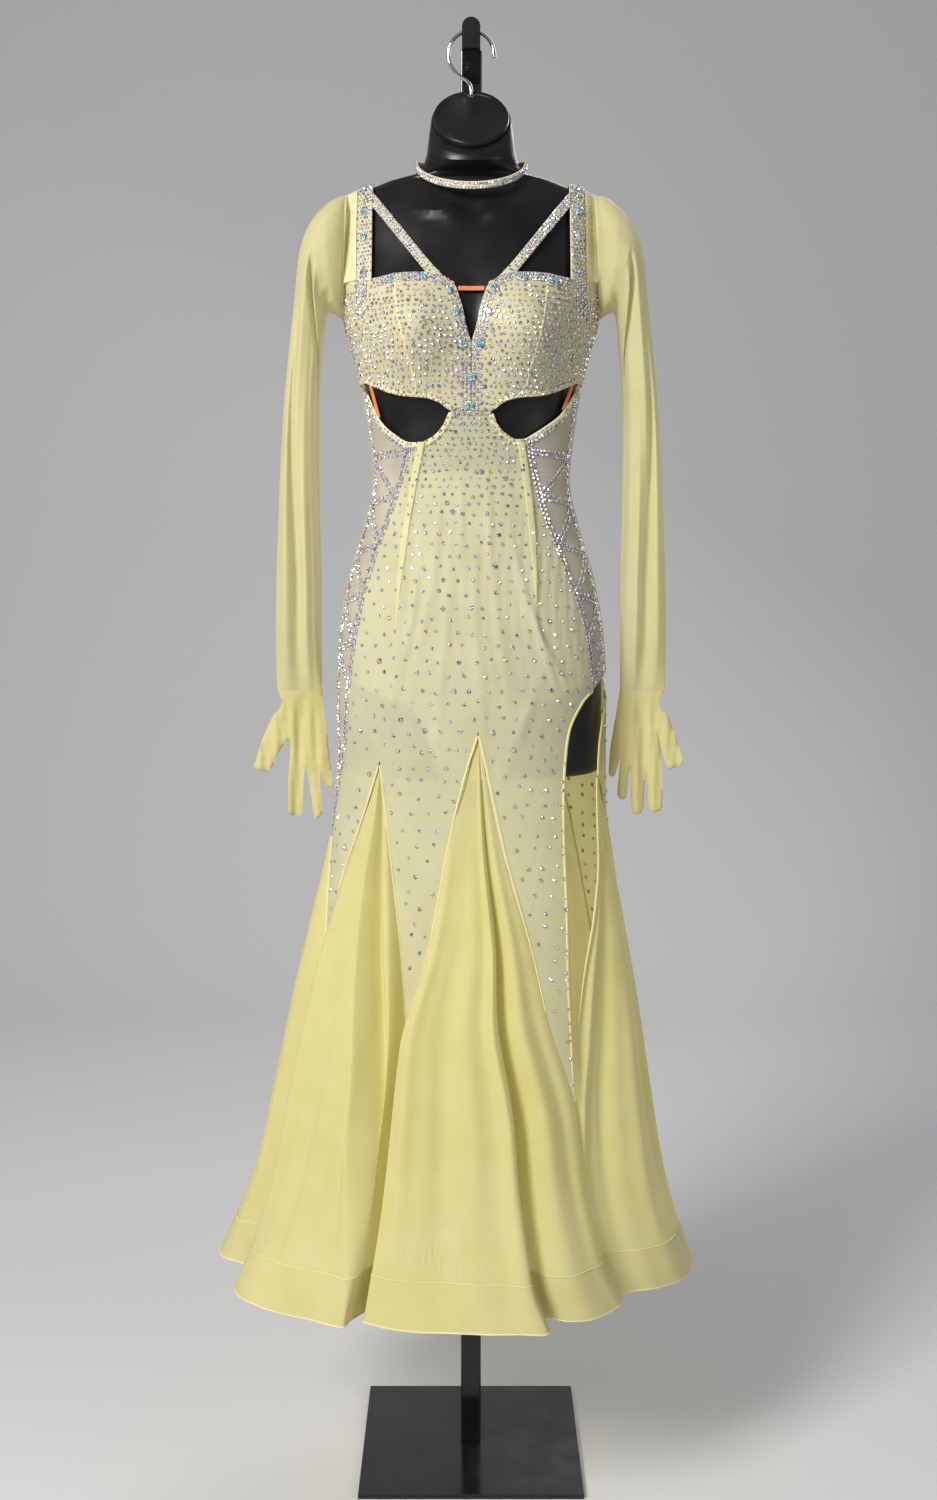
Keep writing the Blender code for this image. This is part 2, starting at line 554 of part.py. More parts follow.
def make_godet(godet):
    """One flared chiffon godet, from its apex to the hem, with folds that open towards the hem."""
    cloth = Cloth()
    levels = [z for z in LEVELS if z < godet.apex_z - LEAST_STEP] + [godet.apex_z]
    spots = lobe_spots(godet)
    rows = []
    for z in levels:
        low = edge_degrees(godet.low, z) + seam_turn(z)
        high = edge_degrees(godet.high, z) + godet.high_turn - seam_turn(z)
        row = []
        for u in spots:
            point = skirt_point(lerp(low, high, u), z, smooth(godet.lobes, u), -SEAM_GAP)
            row.append(cloth.add(point))
        rows.append(row)
    cloth.join(rows)
    cloth.make(godet.name, CHIFFON, -CLOTH)


Tail = namedtuple("Tail", "low high tip_z radius")


def add_tail(cloth, top_row, tail):
    """Hang a pointed tail of body cloth on part of a panel's lowest row."""
    heights = [cloth.points[i].z for i in top_row]
    levels = [tail.tip_z] + [z for z in LEVELS if tail.tip_z + LEAST_STEP < z < min(heights) - 0.004]
    columns = len(top_row) - 1

    def row_at(row_heights):
        row = []
        for i, z in enumerate(row_heights):
            degrees = lerp(edge_degrees(tail.low, z), edge_degrees(tail.high, z), i / columns)
            row.append(cloth.add(skirt_point(degrees, z, tail.radius)))
        return row

    rows = [row_at([z] * len(top_row)) for z in levels]
    steps = max(1, round((max(heights) - levels[-1]) / TAIL_STEP))
    for step in range(1, steps):
        rows.append(row_at([lerp(levels[-1], z, step / steps) for z in heights]))
    cloth.join(rows + [top_row])


Corner = namedtuple("Corner", "degrees z columns")
MIDDLE_Z = 1.25         # first guess at a body panel's upper edge
FLARE_TOP_Z = 0.879     # below this height the front's side edge swings back to the side


def body_panel(cloth, corners, left, right, top, rows, place):
    """Panel whose lowest row runs through the godets' apexes; returns that row and its corners."""
    lowest, marks = [], [0]
    for start, end in zip(corners, corners[1:]):
        for i in range(start.columns):
            share = i / start.columns
            lowest.append((lerp(start.degrees, end.degrees, share), lerp(start.z, end.z, share)))
        marks.append(marks[-1] + start.columns)
    lowest.append((corners[-1].degrees, corners[-1].z))
    count = len(lowest) - 1
    table = []
    for row in range(rows + 1):
        v = row / rows
        line = []
        for i, (degrees, low_z) in enumerate(lowest):
            low_share = (degrees - left(low_z)) / (right(low_z) - left(low_z))
            share = lerp(0.0 if i == 0 else 1.0 if i == count else low_share, i / count, v)
            z = lerp(low_z, MIDDLE_Z, v)
            for _ in range(30):
                turn = lerp(left(z), right(z), share)
                z = lerp(z, lerp(low_z, top(turn, z), v), 0.6)
            line.append(cloth.add(place(turn, z)))
        table.append(line)
    cloth.join(table)
    return table[0], marks


def lattice_degrees(z):
    return smooth(HIP_FLARE, z) if z < FLARE_TOP_Z else angle_at(smooth(LATTICE, z), z)


def dart_fold(x, z):
    """The midriff darts stand out as a narrow soft ridge along each dart line."""
    distance = abs(abs(x) - smooth(DART, z)) / DART_WIDTH
    fade = min(1.0, max(0.0, (z - DART_FOOT_Z) / DART_FADE))
    return DART_DEPTH * math.exp(-distance**2) * fade


def front_place(degrees, z):
    if z < HIP_Z:
        return cloth_place(degrees, z)
    return body_point(degrees, z, dart_fold(body_point(degrees, z).x, z))


FRONT_CORNERS = [Corner(-88, 0.790, 6), Corner(-41.2, 0.883, 7), Corner(2.0, 0.913, 7),
                 Corner(44.0, 0.905, 0)]
FRONT_TAILS = [Tail("left_tail_low", "left_tail_high", 0.668, 0.235),
               Tail("front_tail_low", "front_tail_high", 0.590, 0.168),
               Tail("slit_tail_low", "slit_tail_high", 0.507, 0.222)]


def make_front_body():
    """Front from the cutouts down to its three tails, open at the slit."""
    def right(z):
        edge = lattice_degrees(z) - SEAM_TURN
        return min(smooth(SLIT_FRONT, z), edge) if z < SLIT_TOP_Z else edge

    def left(z):
        return SEAM_TURN - lattice_degrees(z)

    def top(turn, z):
        return height_on(MIDRIFF_TOP, body_point(turn, z).x)

    cloth = Cloth()
    row, marks = body_panel(cloth, FRONT_CORNERS, left, right, top, 16, front_place)
    for tail, first, last in zip(FRONT_TAILS, marks, marks[1:]):
        add_tail(cloth, row[first:last + 1], tail)
    cloth.make("front_body", MESH_CLOTH)


BACK_TOP = [Turn(1.3890, 94), Turn(1.4000, 112), Turn(1.4010, 131), Turn(1.3880, 141), Turn(1.335, 154),
            Turn(1.278, 167), Turn(1.262, 180)]
BACK_CORNERS = [Corner(65.45, 0.872, 6), Corner(138.0, 0.860, 4), Corner(180.0, 0.900, 4),
                Corner(222.0, 0.860, 4), Corner(262.0, 0.790, 0)]
BACK_TAILS = [Tail("right_tail_low", "right_tail_high", 0.640, 0.200),
              Tail("back_tail_low", "back_tail_high", 0.640, 0.190),
              Tail("far_tail_low", "far_tail_high", 0.640, 0.190),
              Tail("corner_tail_low", "corner_tail_high", 0.640, 0.200)]


def make_back_body():
    """Back from its low scoop down to its four tails."""
    def armhole_side(z):
        return smooth(BACK_ARMHOLE, z) + SEAM_TURN

    def right(z):
        return smooth(SLIT_BACK, z) if z < SLIT_TOP_Z else armhole_side(z)

    def left(z):
        return 360 - armhole_side(z)

    def top(turn, z):
        return smooth([(row.degrees, row.z) for row in BACK_TOP], 180 - abs(180 - turn))

    cloth = Cloth()
    row, marks = body_panel(cloth, BACK_CORNERS, right, left, top, 14, cloth_place)
    for tail, first, last in zip(BACK_TAILS, marks, marks[1:]):
        add_tail(cloth, row[first:last + 1], tail)
    cloth.make("back_body", MESH_CLOTH)


LEFT_FOOT_Z = 0.7905            # lower end of the left side mesh
CORNER_RISE, CORNER_X, CORNER_WIDTH = 0.018, 0.140, 0.016    # the right one's end slants up at the back


def make_side_panel(side, word):
    """Nude mesh between the lattice line and the side seam, under the cutout's outer half."""
    bottom = SLIT_TOP_Z + SEAM_GAP if side > 0 else LEFT_FOOT_Z
    corner_rise = CORNER_RISE if side > 0 else 0.0

    def inner(z):
        return side * (lattice_degrees(z) + SEAM_TURN)

    def outer(z):
        return side * (SIDE_SEAM - SEAM_TURN)

    def low(x):
        return bottom + corner_rise * min(1.0, max(0.0, (abs(x) - CORNER_X) / CORNER_WIDTH))

    first, last = (inner, outer) if side > 0 else (outer, inner)
    rows = 10 if side > 0 else 13
    cloth = Cloth()
    panel(cloth, 5, rows, first, last, low, lambda x: height_on(MIDRIFF_TOP, x), cloth_place)
    cloth.make(f"{word}_side_mesh", SIDE_MESH)


# ---------------------------------------------------------------- straps, choker and elastic
STRAP_INNER, STRAP_OUTER = 0.1085, 0.1375
SHOULDER_END_X, SHOULDER_END_Z, SHOULDER_SLOPE = 0.1315, 1.5270, 0.385    # the form's shoulder line
ShoulderBend = namedtuple("ShoulderBend", "forward drop")
SHOULDER_ARC = [ShoulderBend(-0.0290, -0.0150), ShoulderBend(-0.0225, -0.0050),
                ShoulderBend(-0.0110, -0.0003), ShoulderBend(0.0110, -0.0003),
                ShoulderBend(0.0290, -0.0045), ShoulderBend(0.0360, -0.0150)]
STRAP_FRONT_LEVELS = [1.4300, 1.4500, 1.4700, 1.4900, 1.5100]
STRAP_BACK_LEVELS = [1.5100, 1.4850, 1.4600, 1.4300, 1.4020]
STRAP_THICKNESS = 0.002


def make_shoulder_strap(side, word):
    """Stoned strap from the top of the cup, over the shoulder, down to the back body."""
    columns = 3
    xs = [lerp(STRAP_INNER, STRAP_OUTER, i / columns) for i in range(columns + 1)]
    rows = [[body_point(angle_at(x, z), z) for x in xs] for z in STRAP_FRONT_LEVELS]
    for bend in SHOULDER_ARC:
        row = []
        for x in xs:
            shoulder_z = SHOULDER_END_Z + SHOULDER_SLOPE * (SHOULDER_END_X - x) + 2 * SEAM_GAP
            row.append(Vector((x, MID_Y + bend.forward, shoulder_z + bend.drop)))
        rows.append(row)
    rows += [[body_point(180 - angle_at(x, z), z) for x in xs] for z in STRAP_BACK_LEVELS]
    cloth = Cloth()
    cloth.join([[cloth.add((side * p.x, p.y, p.z)) for p in row] for row in rows], flip=side < 0)
    cloth.make(f"{word}_shoulder_strap", STONED_TRIM, STRAP_THICKNESS)


NECK_STRAP_START, NECK_STRAP_END, NECK_STRAP_HALF = (0.0552, 1.4345), (0.1020, 1.5120), 0.0062
NECK_STRAP_END_SPREAD = 1.7     # its end is cut slanting, along the shoulder strap's edge


def make_neck_strap(side, word):
    """Narrow stoned strap from the neckline up to the inner edge of the shoulder strap."""
    start, end = Vector(NECK_STRAP_START), Vector(NECK_STRAP_END)
    direction = (end - start).normalized()
    across = Vector((direction.y, -direction.x)) * NECK_STRAP_HALF
    steps = 8
    cloth = Cloth()
    rows = []
    for step in range(steps + 1):
        row = []
        for edge in (-1, 1):
            x, z = start.lerp(end, step / steps) + across * edge
            if step == 0:
                z = height_on(NECKLINE, x) + SEAM_GAP
            if step == steps:
                x = STRAP_INNER - 2 * SEAM_GAP
                z = (end.y + (x - end.x) * direction.y / direction.x
                     + across.y * NECK_STRAP_END_SPREAD * edge)
            point = body_point(angle_at(x, z), z)
            row.append(cloth.add((side * point.x, point.y, point.z)))
        rows.append(row)
    cloth.join(rows, flip=side < 0)
    cloth.make(f"{word}_neck_strap", STONED_TRIM, STRAP_THICKNESS)


CHOKER_TILT, CHOKER_CENTRE = math.radians(29), Vector((0, -0.064, 1.5540))
CHOKER_HALF_WIDTH, CHOKER_FRONT, CHOKER_BACK = 0.0620, 0.0610, 0.0520
CHOKER_HEIGHT, CHOKER_THICKNESS = 0.008, 0.002


def make_choker():
    """Stoned band round the neck, lower in front than behind."""
    steps = 36
    corners = ((0, 0), (CHOKER_HEIGHT, 0), (CHOKER_HEIGHT, CHOKER_THICKNESS), (0, CHOKER_THICKNESS))
    points = []
    for rise, extra in corners:
        for i in range(steps):
            turn = 2 * math.pi * i / steps
            depth = CHOKER_FRONT if math.cos(turn) > 0 else CHOKER_BACK
            forward = -(depth + extra) * math.cos(turn)
            points.append(CHOKER_CENTRE + Vector((
                (CHOKER_HALF_WIDTH + extra) * math.sin(turn), forward * math.cos(CHOKER_TILT),
                forward * math.sin(CHOKER_TILT) + rise)))
    first, last = list(range(steps)), list(range(3 * steps, 4 * steps))
    faces = ring_faces(len(corners), steps)
    faces += [(last[i], last[i - 1], first[i - 1], first[i]) for i in range(steps)]
    new_object("choker", points, faces, STONED_TRIM)


ELASTIC_THICKNESS, ELASTIC_HALF = 0.001, 0.0025
ELASTIC_GAP = 0.0016            # from an elastic's end to the edge of the cloth
NOTCH_ELASTIC_Z = 1.4100


def make_elastic(name, start, end):
    """Flat elastic along the body between two ends; each end has two corners given by x and z."""
    columns = 4
    cloth = Cloth()
    rows = []
    for first, last in zip(start, end):
        places = [Vector(first).lerp(Vector(last), i / columns) for i in range(columns + 1)]
        rows.append([cloth.add(body_point(angle_at(x, z), z)) for x, z in places])
    cloth.join(rows)
    cloth.make(name, ELASTIC, ELASTIC_THICKNESS)


def make_elastics():
    """One elastic across the notch, and one slanting across the outer corner of each cutout."""
    low, high = NOTCH_ELASTIC_Z - ELASTIC_HALF, NOTCH_ELASTIC_Z + ELASTIC_HALF
    reach = smooth(NOTCH, low) - 2 * SEAM_GAP
    make_elastic("notch_elastic", ((-reach, low), (-reach, high)), ((reach, low), (reach, high)))
    for side, word in ((-1, "left"), (1, "right")):
        upper = [(side * x, height_on(CUP_BOTTOM, x) - ELASTIC_GAP) for x in (0.1110, 0.1160)]
        lower = [(side * x, height_on(MIDRIFF_TOP, x) + ELASTIC_GAP) for x in (0.1015, 0.1065)]
        make_elastic(f"{word}_elastic", upper, lower)


# ---------------------------------------------------------------- sleeves and hands
Cuff = namedtuple("Cuff", "outer_x outer_z inner_x inner_z depth")
SLEEVE = [
    Cuff(0.1398, 1.5275, 0.1466, 1.3895, 0.025),
    Cuff(0.1450, 1.5330, 0.1490, 1.3905, 0.041),
    Cuff(0.1560, 1.5300, 0.1530, 1.3930, 0.050),
    Cuff(0.1685, 1.5205, 0.1580, 1.3960, 0.054),
    Cuff(0.1815, 1.5040, 0.1628, 1.3975, 0.054),
    Cuff(0.1912, 1.4810, 0.1652, 1.3960, 0.053),
    Cuff(0.1970, 1.4540, 0.1664, 1.3930, 0.051),
    Cuff(0.2004, 1.4223, 0.1676, 1.3860, 0.050),
    Cuff(0.2040, 1.3909, 0.1690, 1.3740, 0.049),
    Cuff(0.2084, 1.3549, 0.1710, 1.3500, 0.048),
    Cuff(0.2150, 1.2950, 0.1750, 1.2950, 0.046),
    Cuff(0.2205, 1.2200, 0.1762, 1.2200, 0.044),
    Cuff(0.2240, 1.1500, 0.1755, 1.1500, 0.042),
    Cuff(0.2270, 1.0850, 0.1745, 1.0850, 0.038),
    Cuff(0.2286, 1.0250, 0.1752, 1.0250, 0.030),
    Cuff(0.2285, 0.9850, 0.1752, 0.9850, 0.018),
    Cuff(0.2280, 0.9626, 0.1752, 0.9626, 0.0085),
]
SLEEVE_FOLD, SLEEVE_FOLD_START, SLEEVE_SQUARENESS = 0.0022, 7, 0.85


def sleeve_point(side, row, turn):
    """Point of a sleeve ring; three long soft folds run down the tube below the rounded head."""
    cuff = SLEEVE[row]
    middle = Vector((cuff.outer_x + cuff.inner_x, 0, cuff.outer_z + cuff.inner_z)) / 2
    half = Vector((cuff.outer_x - cuff.inner_x, 0, cuff.outer_z - cuff.inner_z)) / 2
    hanging = min(1, row / SLEEVE_FOLD_START)
    fold = 1 - SLEEVE_FOLD * hanging * (1 + math.cos(6 * turn + row * 0.15)) / 0.05
    point = middle + half * signed_power(math.cos(turn), SLEEVE_SQUARENESS)
    point.y = MID_Y - cuff.depth * signed_power(math.sin(turn), SLEEVE_SQUARENESS) * fold
    return Vector((side * point.x, point.y, point.z))


def make_sleeve(side, word):
    """Empty tube of chiffon from the shoulder to the wrist, open at both ends."""
    around = 14
    turns = [2 * math.pi * i / around for i in range(around)]
    cloth = Cloth()
    rows = [[cloth.add(sleeve_point(side, row, turn)) for turn in turns] for row in range(len(SLEEVE))]
    cloth.join(rows, closed=True, flip=side > 0)
    cloth.make(f"{word}_sleeve", SLEEVE_MESH, -CLOTH)


HAND_LEFT = [(0.2270, 0.9620), (0.2222, 0.9500), (0.2262, 0.9390), (0.2330, 0.9340), (0.2450, 0.9080),
             (0.2570, 0.8720), (0.2550, 0.8680), (0.2400, 0.8655), (0.2370, 0.8680), (0.2290, 0.8860),
             (0.2195, 0.9010), (0.2130, 0.9050), (0.2145, 0.8800), (0.2165, 0.8560), (0.2163, 0.8160),
             (0.2140, 0.8130), (0.2020, 0.8130), (0.1995, 0.8160), (0.1985, 0.8500), (0.1960, 0.8720),
             (0.1925, 0.8600), (0.1890, 0.8300), (0.1862, 0.8090), (0.1830, 0.8085), (0.1762, 0.8150),
             (0.1756, 0.8210), (0.1785, 0.8500), (0.1776, 0.8720), (0.1750, 0.8600), (0.1718, 0.8480),
             (0.1640, 0.8465), (0.1632, 0.8520), (0.1668, 0.8780), (0.1690, 0.9040), (0.1735, 0.9400),
             (0.1752, 0.9620)]
HAND_RIGHT = [(0.2275, 0.9620), (0.2210, 0.9510), (0.2230, 0.9400), (0.2310, 0.9350), (0.2420, 0.9080),
              (0.2510, 0.8770), (0.2490, 0.8740), (0.2350, 0.8680), (0.2310, 0.8700), (0.2250, 0.8920),
              (0.2200, 0.9130), (0.2230, 0.9000), (0.2262, 0.8600), (0.2270, 0.8220), (0.2240, 0.8180),
              (0.2130, 0.8170), (0.2110, 0.8210), (0.2095, 0.8500), (0.2070, 0.8700), (0.2060, 0.8500),
              (0.2045, 0.8220), (0.2010, 0.8150), (0.1920, 0.8150), (0.1905, 0.8200), (0.1895, 0.8500),
              (0.1885, 0.8740), (0.1862, 0.8600), (0.1842, 0.8350), (0.1810, 0.8320), (0.1745, 0.8340),
              (0.1732, 0.8380), (0.1745, 0.8600), (0.1765, 0.8850), (0.1735, 0.8740), (0.1700, 0.8600),
              (0.1675, 0.8590), (0.1632, 0.8610), (0.1628, 0.8660), (0.1650, 0.8980), (0.1700, 0.9300),
              (0.1752, 0.9620)]


HAND_HALF = 0.0032              # half the thickness of a flattened hand


def make_hand(side, word, outline):
    """Empty sewn hand of the sleeve: flattened cloth with a thumb and four closed fingers."""
    count = len(outline)
    points = [(side * x, MID_Y + out, z) for out in (-HAND_HALF, HAND_HALF) for x, z in outline]
    item = new_object(f"{word}_hand", points, ring_faces(2, count) + end_faces(2, count), SLEEVE_MESH)
    item.data.shade_flat()


make_stand()
make_form()
make_hook()
for side, word in ((-1, "left"), (1, "right")):
    make_cups(side, word)
    make_side_panel(side, word)
    make_shoulder_strap(side, word)
    make_neck_strap(side, word)
    make_sleeve(side, word)
make_hand(-1, "left", HAND_LEFT)
make_hand(1, "right", HAND_RIGHT)
make_front_body()
make_back_body()
make_choker()
make_elastics()
for one in GODETS:
    make_godet(one)
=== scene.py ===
import math
import random
from bisect import bisect_right
from collections import namedtuple
from functools import lru_cache

import bmesh
import bpy
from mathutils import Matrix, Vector
from mathutils.geometry import area_tri, delaunay_2d_cdt


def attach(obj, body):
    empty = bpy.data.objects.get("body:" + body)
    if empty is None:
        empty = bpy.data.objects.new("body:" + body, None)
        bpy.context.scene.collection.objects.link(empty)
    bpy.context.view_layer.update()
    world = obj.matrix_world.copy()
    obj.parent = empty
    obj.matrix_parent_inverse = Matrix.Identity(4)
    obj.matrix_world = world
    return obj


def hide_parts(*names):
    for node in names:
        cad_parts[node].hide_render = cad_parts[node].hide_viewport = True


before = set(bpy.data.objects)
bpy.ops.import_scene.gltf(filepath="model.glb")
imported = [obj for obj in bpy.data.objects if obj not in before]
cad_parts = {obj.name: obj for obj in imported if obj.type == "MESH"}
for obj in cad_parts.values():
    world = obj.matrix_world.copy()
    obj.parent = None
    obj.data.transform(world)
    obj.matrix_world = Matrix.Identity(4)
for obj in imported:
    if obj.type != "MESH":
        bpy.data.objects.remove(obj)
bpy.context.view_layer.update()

# ---------------------------------------------------------------- camera, floor and lamps
# The view is from just above waist height and a little over two metres in front. The floor is a
# plain pale sweep, and three large soft lamps light the dress from the front, the side and behind.
camera = bpy.data.objects.new("camera", bpy.data.cameras.new("camera"))
bpy.context.scene.collection.objects.link(camera)
camera.location = (-0.003, -2.082, 1.125)
camera_tilt = 6.57      # degrees down from level
camera.rotation_euler = (math.radians(90 - camera_tilt), 0, 0)
camera.data.sensor_width = 36.0
camera.data.lens = 41.45
bpy.context.scene.camera = camera
bpy.context.scene.view_settings.view_transform = "Standard"


def shader_of(material):
    """Return a material's nodes, links and Principled shader."""
    material.use_nodes = True
    nodes = material.node_tree.nodes
    return nodes, material.node_tree.links, nodes["Principled BSDF"]


def set_inputs(node, values):
    """Set a node's inputs by name."""
    for name, value in values.items():
        node.inputs[name].default_value = value


def make_floor():
    half, near, depth, height, bend, steps = 6.0, -6.0, 3.2, 4.5, 1.2, 16
    profile = [(near, 0.0), (depth - bend, 0.0)]
    for i in range(1, steps + 1):
        turn = math.radians(90 * i / steps)
        profile.append((depth - bend + bend * math.sin(turn), bend - bend * math.cos(turn)))
    profile.append((depth, height))
    points = [(x, y, z) for x in (-half, half) for y, z in profile]
    count = len(profile)
    faces = [(i, i + count, i + count + 1, i + 1) for i in range(count - 1)]
    mesh = bpy.data.meshes.new("floor")
    mesh.from_pydata(points, [], faces)
    mesh.shade_smooth()
    paint = bpy.data.materials.new("floor_paper")
    set_inputs(shader_of(paint)[2], {"Base Color": (0.60, 0.60, 0.61, 1), "Roughness": 0.85})
    mesh.materials.append(paint)
    floor = bpy.data.objects.new("floor", mesh)
    bpy.context.scene.collection.objects.link(floor)


make_floor()


def softbox(name, place, aim, size, power, colour):
    lamp = bpy.data.lights.new(name, "AREA")
    lamp.shape = "RECTANGLE"
    lamp.size, lamp.size_y = size
    lamp.energy = power
    lamp.color = colour
    item = bpy.data.objects.new(name, lamp)
    item.location = place
    item.rotation_euler = (Vector(aim) - Vector(place)).to_track_quat("-Z", "Y").to_euler()
    bpy.context.scene.collection.objects.link(item)


softbox("key_lamp", (-1.7, -2.3, 2.5), (0, 0, 1.0), (1.0, 1.3), 132, (1.0, 0.98, 0.95))
softbox("fill_lamp", (2.4, -1.6, 1.6), (0, 0, 0.9), (1.2, 1.6), 15, (0.95, 0.98, 1.0))
softbox("back_lamp", (0.9, 2.2, 2.6), (0, 0, 1.1), (1.6, 1.2), 30, (1.0, 1.0, 1.0))
world = bpy.data.worlds.new("studio")
world.use_nodes = True
set_inputs(world.node_tree.nodes["Background"], {"Color": (0.80, 0.81, 0.83, 1), "Strength": 0.27})
bpy.context.scene.world = world

# ---------------------------------------------------------------- stand
# A steel plate and a square tube in gloss black powder coat, welded together. The plate's coat is
# mirror-smooth with faint dust and fine scuffs.
def fine_noise(nodes, links, scale, detail=4.0):
    place = nodes.new("ShaderNodeTexCoord")
    noise = nodes.new("ShaderNodeTexNoise")
    set_inputs(noise, {"Scale": scale, "Detail": detail})
    links.new(place.outputs["Object"], noise.inputs["Vector"])
    return noise


def ramp_between(nodes, links, source, low, high, start=0.35, end=0.65):
    """Colour ramp from one colour to another across part of a texture's range."""
    ramp = nodes.new("ShaderNodeValToRGB")
    for stop, position, colour in zip(ramp.color_ramp.elements, (start, end), (low, high)):
        stop.position = position
        stop.color = (*colour, 1)
    links.new(source.outputs["Fac"], ramp.inputs["Fac"])
    return ramp


def bumped(nodes, links, shader, source, strength, distance):
    """Raise the surface by a texture's output."""
    bump = nodes.new("ShaderNodeBump")
    set_inputs(bump, {"Strength": strength, "Distance": distance})
    links.new(source, bump.inputs["Height"])
    links.new(bump.outputs["Normal"], shader.inputs["Normal"])


def dark_finish(name, low, high, smooth_gloss, rough_gloss, grain, bump, metallic=0.0):
    """Black finish whose gloss varies a little, as dust, wear and the mould leave it."""
    paint = bpy.data.materials.new(name)
    nodes, links, shader = shader_of(paint)
    cloud = fine_noise(nodes, links, 9.0)
    colours = ramp_between(nodes, links, cloud, low, high)
    links.new(colours.outputs["Color"], shader.inputs["Base Color"])
    gloss = ramp_between(nodes, links, fine_noise(nodes, links, 24.0),
                         (smooth_gloss,) * 3, (rough_gloss,) * 3)
    links.new(gloss.outputs["Color"], shader.inputs["Roughness"])
    shader.inputs["Metallic"].default_value = metallic
    bumped(nodes, links, shader, fine_noise(nodes, links, grain, 2.0).outputs["Fac"], bump, 0.0004)
    return paint


gloss_coat = dark_finish("gloss_powder_coat", (0.006, 0.006, 0.007), (0.012, 0.012, 0.014),
                         0.10, 0.22, 900, 0.05)
for node in ("base_plate", "pole"):
    bpy.data.objects[node].material_slots[0].material = gloss_coat

# ---------------------------------------------------------------- dress form
# A hollow torso without limbs, blow-moulded in satin black plastic, with a channel down the back
# for the pole. A low oval disc with a raised rim is glued over the slanted neck.
MID_Y = -0.055          # middle plane of the form and the dress
HIP_Z = 0.90            # below this height the cloth leaves the hips
ROUNDNESS = 0.90        # 1 gives an ellipse in plan, less gives a squarer section
FORM_CLEARANCE = 0.005  # air between the form and the cloth
FORM_BOTTOM = 0.868
CAP_TILT = 45
CHANNEL_HALF, CHANNEL_FLOOR_Y = 0.0165, -0.0165
CHANNEL_REACH, CHANNEL_SLOPE = 1.18, 0.18   # where its sides begin, in half-widths, and their width

Section = namedtuple("Section", "z half_width front back")
BODY = (
    Section(0.868, 0.1570, 0.107, 0.110),
    Section(0.963, 0.1580, 0.105, 0.112),
    Section(1.033, 0.1535, 0.099, 0.108),
    Section(1.103, 0.1400, 0.091, 0.097),
    Section(1.155, 0.1240, 0.085, 0.088),
    Section(1.207, 0.1135, 0.082, 0.084),
    Section(1.259, 0.1180, 0.086, 0.088),
    Section(1.310, 0.1260, 0.092, 0.094),
    Section(1.344, 0.1330, 0.097, 0.099),
    Section(1.378, 0.1420, 0.099, 0.102),
    Section(1.411, 0.1445, 0.094, 0.103),
    Section(1.450, 0.1430, 0.083, 0.098),
    Section(1.490, 0.1410, 0.067, 0.083),
    Section(1.515, 0.1390, 0.052, 0.064),
    Section(1.530, 0.1360, 0.040, 0.050),
)
BUST_X, BUST_Z, BUST_WIDTH, BUST_HEIGHT, BUST_DEPTH = 0.068, 1.365, 0.042, 0.048, 0.030
BUST_UPPER = 1.15       # the bust is this much taller above its middle

READY_LINES = {}        # smooth lines already worked out, by table


def line_ready(rows):
    """Places, values and slopes of a smooth line through (place, value) rows that never overshoots."""
    steps = [(b[1] - a[1]) / (b[0] - a[0]) for a, b in zip(rows, rows[1:])]
    slopes = [steps[0]]
    for before, after in zip(steps, steps[1:]):
        slopes.append(0.0 if before * after <= 0 else 2 * before * after / (before + after))
    slopes.append(steps[-1])
    return [row[0] for row in rows], [row[1] for row in rows], slopes, rows


def smooth(rows, at):
    """Value at a place on the smooth line through a table's rows."""
    ready = READY_LINES.get(id(rows))
    if ready is None:
        ready = READY_LINES[id(rows)] = line_ready(rows)
    places, values, slopes, _ = ready
    if at <= places[0]:
        return values[0]
    if at >= places[-1]:
        return values[-1]
    i = bisect_right(places, at) - 1
    width = places[i + 1] - places[i]
    s = (at - places[i]) / width
    s2, s3 = s * s, s * s * s
    return ((2 * s3 - 3 * s2 + 1) * values[i] + (s3 - 2 * s2 + s) * width * slopes[i]
            + (3 * s2 - 2 * s3) * values[i + 1] + (s3 - s2) * width * slopes[i + 1])


BODY_COLUMNS = [tuple((row.z, row[column]) for row in BODY) for column in (1, 2, 3)]


@lru_cache(maxsize=None)
def body_size(z):
    """Half-width, front depth and back depth of the body at a height."""
    return [smooth(rows, z) for rows in BODY_COLUMNS]


def lerp(start, end, share):
    return start + (end - start) * share


def clamped(value):
    """Value kept between 0 and 1."""
    return min(1.0, max(0.0, value))


def signed_power(value, power):
    return math.copysign(abs(value) ** power, value)


def angle_at(x, z):
    """Degrees round the front of the body of a point at x and z."""
    ratio = min(1.0, abs(x) / body_size(z)[0])
    return math.copysign(math.degrees(math.asin(ratio ** (1 / ROUNDNESS))), x)


def body_point(degrees, z, out=0.0):
    """Point on the body, measured round from the front, and moved out of the surface."""
    turn = math.radians(degrees)
    width, front, back = body_size(z)
    depth = front if math.cos(turn) > 0 else back
    x = width * signed_power(math.sin(turn), ROUNDNESS)
    y = -depth * signed_power(math.cos(turn), ROUNDNESS)
    normal = Vector((x / width**2, y / depth**2, 0)).normalized()
    if math.cos(turn) > 0:
        side = (abs(x) - BUST_X) / BUST_WIDTH
        height = (z - BUST_Z) / (BUST_HEIGHT if z < BUST_Z else BUST_HEIGHT * BUST_UPPER)
        y -= BUST_DEPTH * math.exp(-side**2 - height**2) * math.cos(turn) ** 0.5
    return Vector((x, MID_Y + y, z)) + normal * out


